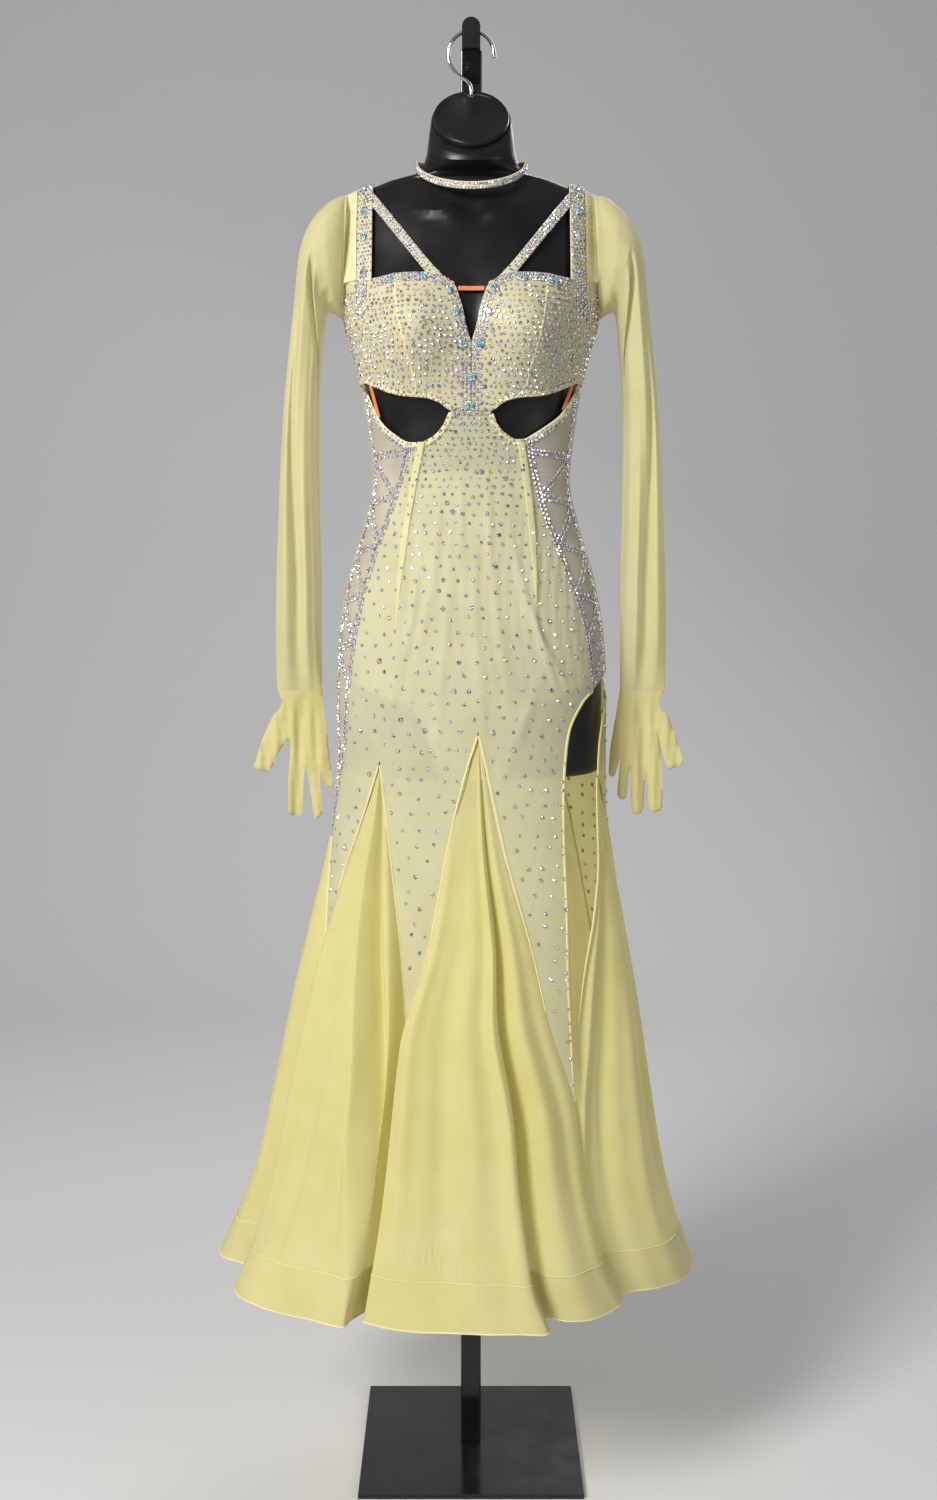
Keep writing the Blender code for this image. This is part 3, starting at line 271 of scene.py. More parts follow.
def add_piece(name, points, faces, finish, replaced=(), flat=False, sharp=0):
    """Make a piece that may stand for plainer solids; sharp is the angle that keeps an edge."""
    mesh = bpy.data.meshes.new(name)
    mesh.from_pydata([tuple(point) for point in points], [], faces)
    mesh.materials.append(finish)
    if not flat:
        mesh.shade_smooth()
    if sharp:
        mesh.set_sharp_from_angle(angle=math.radians(sharp))
    piece = bpy.data.objects.new(name, mesh)
    bpy.context.scene.collection.objects.link(piece)
    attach(piece, "root")
    if replaced:
        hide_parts(*replaced)
    return piece


def rings_to_faces(rings, count, closed=True):
    """Faces that join rings of the same number of points."""
    faces = []
    for level in range(rings - 1):
        for i in range(count if closed else count - 1):
            j = (i + 1) % count
            faces.append((level * count + i, level * count + j,
                          (level + 1) * count + j, (level + 1) * count + i))
    return faces


def end_faces(count, total):
    """Faces that close the first and the last ring of count points."""
    return [tuple(reversed(range(count))), tuple(range(total - count, total))]


form_plastic = dark_finish("satin_form_plastic", (0.004, 0.004, 0.005), (0.009, 0.009, 0.010),
                           0.30, 0.42, 500, 0.10)
form_plastic.node_tree.nodes["Principled BSDF"].inputs["Specular IOR Level"].default_value = 0.30

NeckRing = namedtuple("NeckRing", "z half_width front back centre_y tilt")
NECK = (
    NeckRing(1.5420, 0.0930, 0.029, 0.036, -0.058, 0),
    NeckRing(1.5490, 0.0640, 0.033, 0.032, -0.061, 4),
    NeckRing(1.5570, 0.0540, 0.038, 0.036, -0.065, 10),
    NeckRing(1.5700, 0.0500, 0.044, 0.040, -0.068, 20),
    NeckRing(1.5900, 0.0475, 0.050, 0.046, -0.066, 33),
    NeckRing(1.6075, 0.0450, 0.056, 0.056, -0.062, 45),
)


BONE_START_X, BONE_END_X, BONE_Z, BONE_SLOPE, BONE_RISE = 0.010, 0.072, 1.4930, 0.20, 0.0052
HOLLOW_Z, HOLLOW_DEPTH = 1.502, 0.0060


def collarbone_rise(x, z):
    """Height of the two collarbones, and the hollow between them, over the smooth chest."""
    x = abs(x)
    length = clamped((x - BONE_START_X) / 0.012) * clamped((BONE_END_X - x) / 0.025)
    ridge = BONE_RISE * length * math.exp(-((z - BONE_Z - BONE_SLOPE * x) / 0.0060)**2)
    return ridge - HOLLOW_DEPTH * math.exp(-(x / 0.012)**2 - ((z - HOLLOW_Z) / 0.013)**2)


def torso_ring(z, around, shrink):
    """One level of the torso; its back dips into the channel for the pole."""
    points = []
    for i in range(around):
        degrees = lerp(-180, 180, i / around)
        point = body_point(degrees, z, -FORM_CLEARANCE - shrink)
        if abs(degrees) < 60:
            point.y -= collarbone_rise(point.x, z)
        reach = abs(point.x) / CHANNEL_HALF
        if abs(degrees) > 90 and reach < CHANNEL_REACH:
            depth = clamped((CHANNEL_REACH - reach) / CHANNEL_SLOPE)
            point.y = lerp(point.y, CHANNEL_FLOOR_Y, depth)
        points.append(point)
    return points


def neck_ring(at, around):
    """One level of the neck at a place along its table of rings."""
    index = min(len(NECK) - 2, int(at))
    share = at - index
    size = [lerp(a, b, share) for a, b in zip(NECK[index], NECK[index + 1])]
    z, half_width, front, back, centre_y, tilt = size
    tilt = math.radians(tilt)
    points = []
    for i in range(around):
        turn = math.radians(lerp(-180, 180, i / around))
        depth = front if math.cos(turn) > 0 else back
        forward = -depth * math.cos(turn)
        points.append(Vector((half_width * math.sin(turn), centre_y + forward * math.cos(tilt),
                              z + forward * math.sin(tilt))))
    return points


def make_form_torso():
    around, levels, neck_steps, top_z, lip = 144, 96, 6, 1.527, 0.006
    rings = [torso_ring(FORM_BOTTOM, around, 0.008), torso_ring(FORM_BOTTOM + 0.002, around, 0.003),
             torso_ring(FORM_BOTTOM + lip, around, 0.0)]
    rings += [torso_ring(lerp(FORM_BOTTOM + lip, top_z, i / levels), around, 0.0)
              for i in range(1, levels + 1)]
    start, steps = neck_ring(0, around), 5
    rings += [[a.lerp(b, i / steps) for a, b in zip(rings[-1], start)] for i in range(1, steps)]
    rings += [neck_ring(i / neck_steps, around) for i in range(neck_steps * (len(NECK) - 1) + 1)]
    points = [point for ring in rings for point in ring]
    faces = rings_to_faces(len(rings), around) + end_faces(around, len(points))
    add_piece("form_shell", points, faces, form_plastic, ["form_torso"], sharp=38)


make_form_torso()

cap_tilt = math.radians(CAP_TILT)
CAP_NORMAL = Vector((0, -math.sin(cap_tilt), math.cos(cap_tilt)))
CAP_SLOPE = Vector((0, -math.cos(cap_tilt), -math.sin(cap_tilt)))
CAP_CENTRE = Vector((0, NECK[-1].centre_y, NECK[-1].z)) + CAP_NORMAL * 0.0003


CAP_FACE = 0.0045       # height of the cap's face over the neck


def make_neck_cap():
    """Oval disc with a rounded rim round a slightly sunk plain face."""
    profile = [(0.945, 0.0), (0.955, 0.0008), (0.955, 0.0036), (0.945, 0.0052), (0.925, 0.0060),
               (0.860, 0.0060), (0.840, 0.0056), (0.828, 0.0047), (0.815, CAP_FACE), (0.40, CAP_FACE)]
    around = 96
    points = []
    for share, height in profile:
        for i in range(around):
            turn = 2 * math.pi * i / around
            points.append(CAP_CENTRE + CAP_NORMAL * height
                          + Vector((NECK[-1].half_width * share * math.sin(turn), 0, 0))
                          + CAP_SLOPE * NECK[-1].front * share * math.cos(turn))
    faces = rings_to_faces(len(profile), around) + end_faces(around, len(points))[::-1]
    add_piece("neck_cap", points, faces, form_plastic, ["form_cap"], sharp=30)


make_neck_cap()

# ---------------------------------------------------------------- rail
# Steel bar welded to the tube, with a gusset below and its end turned up as a round-topped lip that
# keeps the hook from sliding off. It has the same black powder coat.
RAIL_HALF, RAIL_TOP, RAIL_BOTTOM, GUSSET_DROP = 0.0090, 1.7106, 1.6906, 0.030
LIP_HALF, LIP_TOP = 0.0104, 1.7262
LIP_EDGE = 0.0008       # rounding of the lip's edges
RAIL_END_Y, LIP_BACK_Y, LIP_FRONT_Y = -0.0128, -0.0405, -0.0455
ARCH_POINTS = 16


def rail_section(y, half, bottom, top):
    """Section of the bar: flat sides, a square underside and a round top."""
    turns = [math.pi * i / ARCH_POINTS for i in range(ARCH_POINTS + 1)]
    arch = [Vector((half * math.cos(turn), y, top - half + half * math.sin(turn))) for turn in turns]
    return [Vector((half, y, bottom))] + arch + [Vector((-half, y, bottom))]


rail_sections = (
    rail_section(RAIL_END_Y, RAIL_HALF, RAIL_BOTTOM - GUSSET_DROP, RAIL_TOP),
    rail_section(LIP_BACK_Y, RAIL_HALF, RAIL_BOTTOM, RAIL_TOP),
    rail_section(LIP_BACK_Y - 0.0001, LIP_HALF - LIP_EDGE, RAIL_BOTTOM, LIP_TOP - LIP_EDGE),
    rail_section(LIP_BACK_Y - LIP_EDGE, LIP_HALF, RAIL_BOTTOM, LIP_TOP),
    rail_section(LIP_FRONT_Y + LIP_EDGE, LIP_HALF, RAIL_BOTTOM + LIP_EDGE, LIP_TOP),
    rail_section(LIP_FRONT_Y, LIP_HALF - LIP_EDGE, RAIL_BOTTOM + 2 * LIP_EDGE, LIP_TOP - LIP_EDGE))
rail_points = [point for section in rail_sections for point in section]
count = len(rail_sections[0])
rail_faces = rings_to_faces(len(rail_sections), count) + end_faces(count, len(rail_points))
rail = add_piece("rail_bar", rail_points, rail_faces, gloss_coat, ["arm"], sharp=40)

# ---------------------------------------------------------------- hanging hook
# Chrome-plated wire bent to a hook with an S at its foot, screwed through the cap of the neck
# with a small hexagonal nut. It hangs on the rail just behind the rail's lip.
HOOK_PLANE_Y, HOOK_RADIUS, HOOK_WIRE, HOOK_CENTRE_Z = -0.037, 0.026, 0.0021, 1.6869
HOOK_FOOT_GAP = 0.0006      # between the wire's end and the cap's face
HOOK_TIP_BALL = 1.22        # radius of the ball at its tip, in wire radii


def make_hook():
    chrome = bpy.data.materials.new("chrome_wire")
    nodes, links, shader = shader_of(chrome)
    shader.inputs["Metallic"].default_value = 1.0
    tint = ramp_between(nodes, links, fine_noise(nodes, links, 60.0),
                        (0.60, 0.60, 0.62), (0.80, 0.80, 0.82))
    links.new(tint.outputs["Color"], shader.inputs["Base Color"])
    wear = ramp_between(nodes, links, fine_noise(nodes, links, 180.0), (0.06,) * 3, (0.16,) * 3)
    links.new(wear.outputs["Color"], shader.inputs["Roughness"])
    bumped(nodes, links, shader, fine_noise(nodes, links, 700.0, 2.0).outputs["Fac"], 0.04, 0.0002)

    face = CAP_FACE + HOOK_FOOT_GAP + HOOK_WIRE
    foot_z = (NECK[-1].z + (HOOK_PLANE_Y - NECK[-1].centre_y) * math.tan(cap_tilt)
              + face / math.cos(cap_tilt))
    route = [(0.0262, 1.6850)]
    for degrees in range(0, 216, 5):
        turn = math.radians(degrees)
        route.append((HOOK_RADIUS * math.cos(turn), HOOK_CENTRE_Z + HOOK_RADIUS * math.sin(turn)))
    route += [(-0.0186, 1.6680), (-0.0162, 1.6652), (-0.0131, 1.6630), (-0.0096, 1.6612),
              (-0.0062, 1.6592), (-0.0034, 1.6566), (-0.0014, 1.6534), (-0.0003, 1.6500),
              (0.0, 1.6465), (0.0, foot_z)]
    around = 20
    points = []
    for index, (x, z) in enumerate(route):
        before, after = route[max(0, index - 1)], route[min(len(route) - 1, index + 1)]
        along = Vector((after[0] - before[0], 0, after[1] - before[1])).normalized()
        across = Vector((along.z, 0, -along.x))
        for i in range(around):
            turn = 2 * math.pi * i / around
            points.append(Vector((x, HOOK_PLANE_Y, z)) + across * HOOK_WIRE * math.cos(turn)
                          + Vector((0, HOOK_WIRE * math.sin(turn), 0)))
    faces = rings_to_faces(len(route), around) + end_faces(around, len(points))
    tip = Vector((route[0][0], HOOK_PLANE_Y, route[0][1]))
    first = len(points)
    ball_rows = 8
    for level in range(ball_rows + 1):
        polar = math.radians(lerp(20, 160, level / ball_rows))
        for i in range(around):
            turn = 2 * math.pi * i / around
            away = Vector((math.sin(polar) * math.cos(turn), math.sin(polar) * math.sin(turn),
                           -math.cos(polar)))
            points.append(tip + HOOK_WIRE * HOOK_TIP_BALL * away)
    ball = rings_to_faces(ball_rows + 1, around) + end_faces(around, len(points) - first)
    faces += [tuple(first + index for index in face) for face in ball]
    add_piece("hook_wire", points, faces, chrome, ["hook"], sharp=50)

    nut_radius, nut_height = 0.0048, 0.0030
    foot = Vector((0, HOOK_PLANE_Y, foot_z)) - CAP_NORMAL * (HOOK_WIRE + 0.0004)
    side = Vector((1, 0, 0))
    points = []
    for share, height in ((1.0, 0.0), (1.0, nut_height * 0.85), (0.86, nut_height), (0.46, nut_height)):
        for i in range(6):
            turn = math.radians(60 * i)
            points.append(foot + CAP_NORMAL * height
                          + (side * math.cos(turn) + CAP_SLOPE * math.sin(turn)) * nut_radius * share)
    add_piece("hook_nut", points, rings_to_faces(4, 6) + end_faces(6, 24)[::-1], chrome, flat=True)


make_hook()

# ---------------------------------------------------------------- bodice cups
# Two cups, each cut in an inner and an outer piece that meet at a princess seam over the bust.
# Lemon stretch net over a nude lining, overlocked inside and edged with a folded yellow binding.
CLOTH_OUT = 0.0010      # the cloth's middle above the body's surface
SEAM_TURN = 0.12        # degrees from a body seam to each of the two pieces that meet there
CENTRE_TURN = 0.09      # degrees from the middle to each cup
HALF_SEAM_GAP = 0.00015
SIDE_SEAM = 98.0        # degrees from the front to the side seams

SIDES = ((-1, "left"), (1, "right"))

Edge = namedtuple("Edge", "z x")        # a seam by its distance from the centre line
Top = namedtuple("Top", "x z")          # an upper or lower edge by its height
Side = namedtuple("Side", "z degrees")  # a seam by its place round the body
PRINCESS = (Edge(1.270, 0.0600), Edge(1.293, 0.0608), Edge(1.303, 0.0610), Edge(1.339, 0.0694),
            Edge(1.376, 0.0785), Edge(1.428, 0.0843), Edge(1.45, 0.085))
NOTCH = (Edge(1.353, 0.0), Edge(1.372, 0.0056), Edge(1.393, 0.0102), Edge(1.4105, 0.0158),
         Edge(1.43, 0.0215))
NECKLINE = (Top(0.0158, 1.4105), Top(0.0200, 1.4158), Top(0.0288, 1.4222), Top(0.0360, 1.4258),
            Top(0.0507, 1.4283), Top(0.0781, 1.4285), Top(0.1089, 1.4250), Top(0.1440, 1.4270))
CUP_BOTTOM = (Top(0.0, 1.2795), Top(0.0214, 1.2795), Top(0.0347, 1.2880), Top(0.0514, 1.2932),
              Top(0.0736, 1.2955), Top(0.0902, 1.2998), Top(0.1046, 1.3063), Top(0.1190, 1.3135))
ARMHOLE = (Side(1.31, SIDE_SEAM - 0.3), Side(1.365, 96.0), Side(1.390, 94.0), Side(1.410, 86.0),
           Side(1.429, 82.0))


def cloth_finish(name, light, shade, rough=0.7, see_through=0.0, glow=0.25, weave=1400.0,
                 depth=0.00025, sheen=0.3):
    """Woven cloth in two close tints, with a thread grid, soft sheen and light that passes through."""
    cloth = bpy.data.materials.new(name)
    nodes, links, shader = shader_of(cloth)
    tint = ramp_between(nodes, links, fine_noise(nodes, links, 22.0, 6.0), shade, light, 0.30, 0.70)
    links.new(tint.outputs["Color"], shader.inputs["Base Color"])
    set_inputs(shader, {"Roughness": rough, "Specular IOR Level": 0.25, "Sheen Weight": sheen,
                        "Sheen Roughness": 0.5, "Alpha": 1.0 - see_through})
    place = nodes.new("ShaderNodeTexCoord")
    threads = nodes.new("ShaderNodeTexBrick")
    set_inputs(threads, {"Scale": weave, "Color1": (1, 1, 1, 1), "Color2": (0.85, 0.85, 0.85, 1),
                         "Mortar": (0, 0, 0, 1)})
    links.new(place.outputs["Object"], threads.inputs["Vector"])
    crepe = fine_noise(nodes, links, 320.0, 3.0)
    height = nodes.new("ShaderNodeMix")
    height.data_type = "RGBA"
    height.inputs["Factor"].default_value = 0.6
    links.new(threads.outputs["Color"], height.inputs["A"])
    links.new(crepe.outputs["Color"], height.inputs["B"])
    bumped(nodes, links, shader, height.outputs["Result"], 0.35, depth)
    if glow:
        through = nodes.new("ShaderNodeBsdfTranslucent")
        links.new(tint.outputs["Color"], through.inputs["Color"])
        both = nodes.new("ShaderNodeMixShader")
        both.inputs["Fac"].default_value = glow
        links.new(shader.outputs["BSDF"], both.inputs[1])
        links.new(through.outputs["BSDF"], both.inputs[2])
        links.new(both.outputs["Shader"], nodes["Material Output"].inputs["Surface"])
    return cloth


bodice_net = cloth_finish("lemon_bodice_net", (0.60, 0.55, 0.35), (0.53, 0.485, 0.305), glow=0.12)
net_binding = cloth_finish("net_binding", (0.76, 0.71, 0.41), (0.70, 0.64, 0.35), rough=0.65, glow=0.10)
lemon_binding = cloth_finish("lemon_binding", (0.86, 0.79, 0.38), (0.78, 0.70, 0.29), rough=0.6, glow=0.10)


def cloth_grid(columns, rows, place):
    """Points and faces of a sheet; place(u, v) gives a point for each place across and up it."""
    points = [place(i / columns, j / rows) for j in range(rows + 1) for i in range(columns + 1)]
    return points, rings_to_faces(rows + 1, columns + 1, closed=False)


def body_sheet(columns, rows, left, right, low, high, place):
    """Grid on the body between two side seams (functions of height) and two level edges (of x)."""
    settle_steps = 7        # rounds after which height and distance agree

    def spot(u, v):
        z = 0.5 * (low(0.0) + high(0.0))
        for _ in range(settle_steps):
            degrees = lerp(left(z), right(z), u)
            x = body_point(degrees, z).x
            z = lerp(low(x), high(x), v)
        return place(degrees, z)
    return cloth_grid(columns, rows, spot)


def on_body(degrees, z):
    return body_point(degrees, z, CLOTH_OUT)


def height_on(rows, x):
    return smooth(rows, abs(x))


def notch_side(z, side):
    return side * (angle_at(smooth(NOTCH, z), z) + CENTRE_TURN)


def princess_seam(z, side, outwards):
    return side * angle_at(smooth(PRINCESS, z) + outwards * HALF_SEAM_GAP, z)


def armhole_side(z, side):
    return side * smooth(ARMHOLE, z)


def make_cup(side, word):
    for part, inner, outer in (
            ("inner", lambda z: notch_side(z, side), lambda z: princess_seam(z, side, -1)),
            ("outer", lambda z: princess_seam(z, side, 1), lambda z: armhole_side(z, side))):
        first, last = (inner, outer) if side > 0 else (outer, inner)
        points, faces = body_sheet(36, 44, first, last, lambda x: height_on(CUP_BOTTOM, x),
                                   lambda x: height_on(NECKLINE, x), on_body)
        cup = add_piece(f"{word}_{part}_cup_net", points, faces, bodice_net, [f"{word}_{part}_cup"])


def surface_frame(place, degrees, z):
    """Point and outward direction of a panel at a place on it, from places a little way off."""
    turn, rise = 0.4, 0.0015
    point = place(degrees, z)
    across = place(degrees + turn, z) - place(degrees - turn, z)
    up = place(degrees, z + rise) - place(degrees, z - rise)
    return point, across.cross(up).normalized()


RIBBON_SUNK = -0.0006   # how deep a ribbon's edges are pressed into the cloth


def ribbon(name, frames, width, rise, finish):
    """Flat strip with rounded edges along (point, outward) frames; width may vary along it."""
    profile = [(-0.5, RIBBON_SUNK), (-0.5, rise * 0.6), (-0.38, rise), (0.38, rise), (0.5, rise * 0.6),
               (0.5, RIBBON_SUNK)]
    points, count = [], len(frames)
    for index, (point, outward) in enumerate(frames):
        before = frames[max(0, index - 1)][0]
        after = frames[min(count - 1, index + 1)][0]
        across = outward.cross(after - before).normalized()
        wide = width(index / max(1, count - 1)) if callable(width) else width
        points += [point + across * wide * share + outward * height for share, height in profile]
    return add_piece(name, points, rings_to_faces(count, len(profile), closed=False), finish)


def steps_between(start, end, count):
    return [lerp(start, end, i / count) for i in range(count + 1)]


def edge_frames(rows, xs, side, out=0.0):
    """Frames along an upper or lower edge of the bodice; out moves them down or up from it."""
    frames = []
    for x in xs:
        z = height_on(rows, x) + out
        frames.append(surface_frame(on_body, side * angle_at(x, z), z))
    return frames


for side, word in SIDES:
    seam = [surface_frame(on_body, princess_seam(z, side, 0), z)
            for z in steps_between(1.296, 1.427, 60)]
    seam_tape = ribbon(f"{word}_princess_seam", seam, 0.0026, 0.0005, net_binding)
    under = edge_frames(CUP_BOTTOM, steps_between(0.022, 0.1180, 70), side, 0.0024)
    binding = ribbon(f"{word}_cup_binding", under, 0.0050, 0.0009, net_binding)
    make_cup(side, word)

# ---------------------------------------------------------------- front body
# One piece of lemon net over a nude lining from the cutouts down to three pointed tails between
# the godets. Two darts, covered with narrow yellow tape, shape the waist and gather below it.
MIDRIFF_TOP = (Top(0.0, 1.2786), Top(0.0214, 1.2786), Top(0.0281, 1.2656), Top(0.0403, 1.2524),
               Top(0.0571, 1.2453), Top(0.0681, 1.2456), Top(0.0882, 1.2568), Top(0.1015, 1.2700),
               Top(0.1103, 1.2864), Top(0.1180, 1.3050))
RIGHT_MIDRIFF_TOP = (Top(0.0, 1.2786), Top(0.0214, 1.2780), Top(0.0253, 1.2678), Top(0.0349, 1.2566),
                     Top(0.0500, 1.2485), Top(0.0590, 1.2492), Top(0.0690, 1.2545), Top(0.0870, 1.2663),
                     Top(0.0999, 1.2768), Top(0.1085, 1.2890), Top(0.1180, 1.3050))
LATTICE = (Edge(0.879, 0.1470), Edge(0.940, 0.1425), Edge(0.993, 0.1372), Edge(1.040, 0.1300),
           Edge(1.080, 0.1212), Edge(1.120, 0.1090), Edge(1.165, 0.0925), Edge(1.205, 0.0790),
           Edge(1.247, 0.0681), Edge(1.28, 0.0610))
RIGHT_LATTICE = (Edge(0.879, 0.1470), Edge(0.940, 0.1425), Edge(0.993, 0.1372), Edge(1.040, 0.1295),
                 Edge(1.072, 0.1200), Edge(1.092, 0.1115), Edge(1.122, 0.1005), Edge(1.142, 0.0918),
                 Edge(1.161, 0.0840), Edge(1.184, 0.0768), Edge(1.207, 0.0712), Edge(1.238, 0.0650),
                 Edge(1.28, 0.0590))
DART = (Edge(1.048, 0.0832), Edge(1.077, 0.0809), Edge(1.137, 0.0739), Edge(1.204, 0.0625),
        Edge(1.244, 0.0546))
RIGHT_DART = (Edge(1.048, 0.0722), Edge(1.077, 0.0716), Edge(1.137, 0.0680), Edge(1.204, 0.0608),
              Edge(1.244, 0.0546))
DART_DEPTH, DART_WIDTH = 0.0022, 0.005
DART_FADE_Z, DART_FADE = 1.03, 0.05     # no fold at the first height; whole this far above it

Spread = namedtuple("Spread", "z share")
SKIRT = (
    Spread(0.275, 1.00), Spread(0.335, 0.83), Spread(0.40, 0.68), Spread(0.50, 0.53),
    Spread(0.60, 0.385), Spread(0.70, 0.22), Spread(0.78, 0.09), Spread(0.86, 0.015),
    Spread(0.93, 0.0),
)
SLIT_FRONT = (Side(0.275, 52.0), Side(0.320, 45.5), Side(0.3625, 43.0), Side(0.420, 40.0),
              Side(0.492, 37.4), Side(0.617, 37.2), Side(0.733, 38.8), Side(0.800, 39.2),
              Side(0.871, 40.2), Side(0.920, 43.0), Side(0.954, 52.0), Side(0.968, 61.5))
HIP_FLARE = (Side(0.790, 88.0), Side(0.830, 79.0), Side(0.879, 69.4))
SLIT_BACK = (Side(0.275, 45.0), Side(0.320, 40.0), Side(0.3625, 37.0), Side(0.420, 35.0),
             Side(0.500, 36.0), Side(0.553, 39.4), Side(0.602, 43.0), Side(0.6455, 47.0),
             Side(0.719, 57.8), Side(0.776, 64.0), Side(0.877, 65.5), Side(0.937, 73.0),
             Side(0.962, 97.0))
SLIT_TOP_Z = 0.968

Valley = namedtuple("Valley", "degrees radius")
VALLEYS = (Valley(-122, 0.200), Valley(-78, 0.235), Valley(-28, 0.168), Valley(40, 0.222),
           Valley(66, 0.207), Valley(122, 0.200), Valley(163, 0.190), Valley(197, 0.190),
           Valley(238, 0.200), Valley(282, 0.235))
LEFT_FRONT_SEAM = (Side(0.275, -34.5), Side(0.405, -30.6), Side(0.575, -25.9))
LEFT_SEAM = (Side(0.275, -78.0), Side(0.45, -74.0), Side(0.645, -70.0))
SIDE_BACK_SEAM = (Side(0.275, 122.0), Side(0.45, 120.0), Side(0.61, 118.0))
BACK_SEAM = (Side(0.275, 163.0), Side(0.45, 161.0), Side(0.61, 159.0))


def other_side(rows, turn=0.0):
    return tuple(Side(row.z, turn - row.degrees) for row in rows)


TAIL_EDGES = {
    "left_tail_low": LEFT_SEAM + (Side(0.75, -80.0), Side(0.790, -88.0)),
    "left_tail_high": LEFT_SEAM + (Side(0.748, -61.6), Side(0.806, -51.5), Side(0.890, -38.4)),
    "front_tail_low": LEFT_FRONT_SEAM + (Side(0.6635, -27.6), Side(0.79, -33.0), Side(0.847, -36.0),
                                         Side(0.890, -38.4)),
    "front_tail_high": LEFT_FRONT_SEAM + (Side(0.605, -23.6), Side(0.687, -15.3), Side(0.79, -8.5),
                                          Side(0.926, 2.0)),
    "slit_tail_low": SLIT_FRONT[:5] + (Side(0.605, 26.6), Side(0.675, 21.9), Side(0.79, 11.6),
                                       Side(0.926, 2.0)),
    "slit_tail_high": SLIT_FRONT,
    "slit_back": SLIT_BACK,
    "right_tail_low": SIDE_BACK_SEAM + (Side(0.70, 108.0), Side(0.80, 85.0), Side(0.872, 65.45)),
    "right_tail_high": SIDE_BACK_SEAM + (Side(0.72, 125.0), Side(0.860, 138.0)),
    "back_tail_low": BACK_SEAM + (Side(0.72, 150.0), Side(0.860, 138.0)),
    "back_tail_high": BACK_SEAM + (Side(0.72, 169.0), Side(0.900, 180.0)),
    "far_tail_low": other_side(BACK_SEAM, 360) + (Side(0.72, 191.0), Side(0.900, 180.0)),
    "far_tail_high": other_side(BACK_SEAM, 360) + (Side(0.72, 210.0), Side(0.860, 222.0)),
    "corner_tail_low": other_side(SIDE_BACK_SEAM, 360) + (Side(0.72, 235.0), Side(0.860, 222.0)),
    "corner_tail_high": other_side(SIDE_BACK_SEAM, 360) + (Side(0.70, 250.0), Side(0.790, 262.0)),
}


def edge_degrees(name, z):
    return smooth(TAIL_EDGES[name], z)


@lru_cache(maxsize=None)
def tail_radius(degrees):
    return smooth(VALLEYS, degrees)


def skirt_point(degrees, z, hem_radius, out=0.0):
    """Point of the skirt: the hip's section opened out towards a radius at the hem."""
    hip = body_point(degrees, max(z, HIP_Z))
    turn = math.radians(degrees)
    away = Vector((math.sin(turn), -math.cos(turn), 0))
    hem = Vector((0, MID_Y, 0)) + away * hem_radius
    point = hip.lerp(hem, smooth(SKIRT, z))
    return Vector((point.x, point.y, z)) + away * out


def dart_x(side, z):
    """Distance of a dart from the centre line; the right one stands a little steeper."""
    return smooth(RIGHT_DART if side > 0 else DART, z)


def dart_fold(x, z):
    """The cloth stands up along each dart; the soft pleats below it come from front_crease."""
    distance = abs(abs(x) - dart_x(x, z)) / DART_WIDTH
    fade = clamped((z - DART_FADE_Z) / DART_FADE)
    return DART_DEPTH * math.exp(-distance**2) * fade


Crease = namedtuple("Crease", "x z lean length width depth")
FRONT_CREASES = (
    Crease(-0.083, 1.005, -0.10, 0.060, 0.0040, 0.0016),
    Crease(-0.074, 1.015, -0.16, 0.050, 0.0035, 0.0012),
    Crease(-0.064, 1.060, -0.14, 0.055, 0.0038, 0.0012), Crease(-0.052, 1.045, -0.20, 0.050, 0.0040, 0.0010),
    Crease(-0.040, 1.130, -0.10, 0.050, 0.0040, 0.0009), Crease(-0.026, 1.060, -0.08, 0.070, 0.0045, 0.0010),
    Crease(-0.010, 1.140, 0.02, 0.060, 0.0045, 0.0009), Crease(0.004, 1.060, 0.02, 0.080, 0.0050, 0.0011),
    Crease(0.020, 1.150, 0.05, 0.050, 0.0040, 0.0009), Crease(0.033, 1.030, 0.12, 0.070, 0.0045, 0.0010),
    Crease(0.055, 1.090, 0.20, 0.050, 0.0040, 0.0011), Crease(0.070, 1.050, 0.28, 0.040, 0.0036, 0.0014),
    Crease(0.079, 1.020, 0.34, 0.040, 0.0034, 0.0018), Crease(0.088, 1.010, 0.55, 0.036, 0.0034, 0.0014),
    Crease(-0.035, 0.960, -0.05, 0.060, 0.0050, 0.0008), Crease(0.012, 0.965, 0.05, 0.060, 0.0055, 0.0008),
    Crease(-0.105, 0.900, 0.55, 0.050, 0.0080, 0.0010), Crease(0.060, 0.935, -0.35, 0.050, 0.0060, 0.0008),
)


RIPPLE_Z, RIPPLE_REACH = 1.07, 0.11         # where the fine ripples are strongest
CREASE_GAIN = 1.7
CREASE_FADE_Z, CREASE_FADE = 0.84, 0.06     # no creases at this height; whole this far above it


def front_crease(x, z):
    """Height of the small pleats that hang from the darts and the waist."""
    wrinkled = math.exp(-((z - RIPPLE_Z) / RIPPLE_REACH)**2)
    rise = 0.00028 * wrinkled * math.sin(560 * x + 2.5 * math.sin(31 * z) + 9 * z)
    rise += 0.00018 * wrinkled * math.sin(910 * x - 2.0 * math.sin(43 * z))
    for crease in FRONT_CREASES:
        along = (z - crease.z) / crease.length
        if abs(along) < 2:
            across = (x - crease.x - crease.lean * (crease.z - z)) / crease.width
            rise += CREASE_GAIN * crease.depth * math.exp(-across**2 - along**2)
    return rise


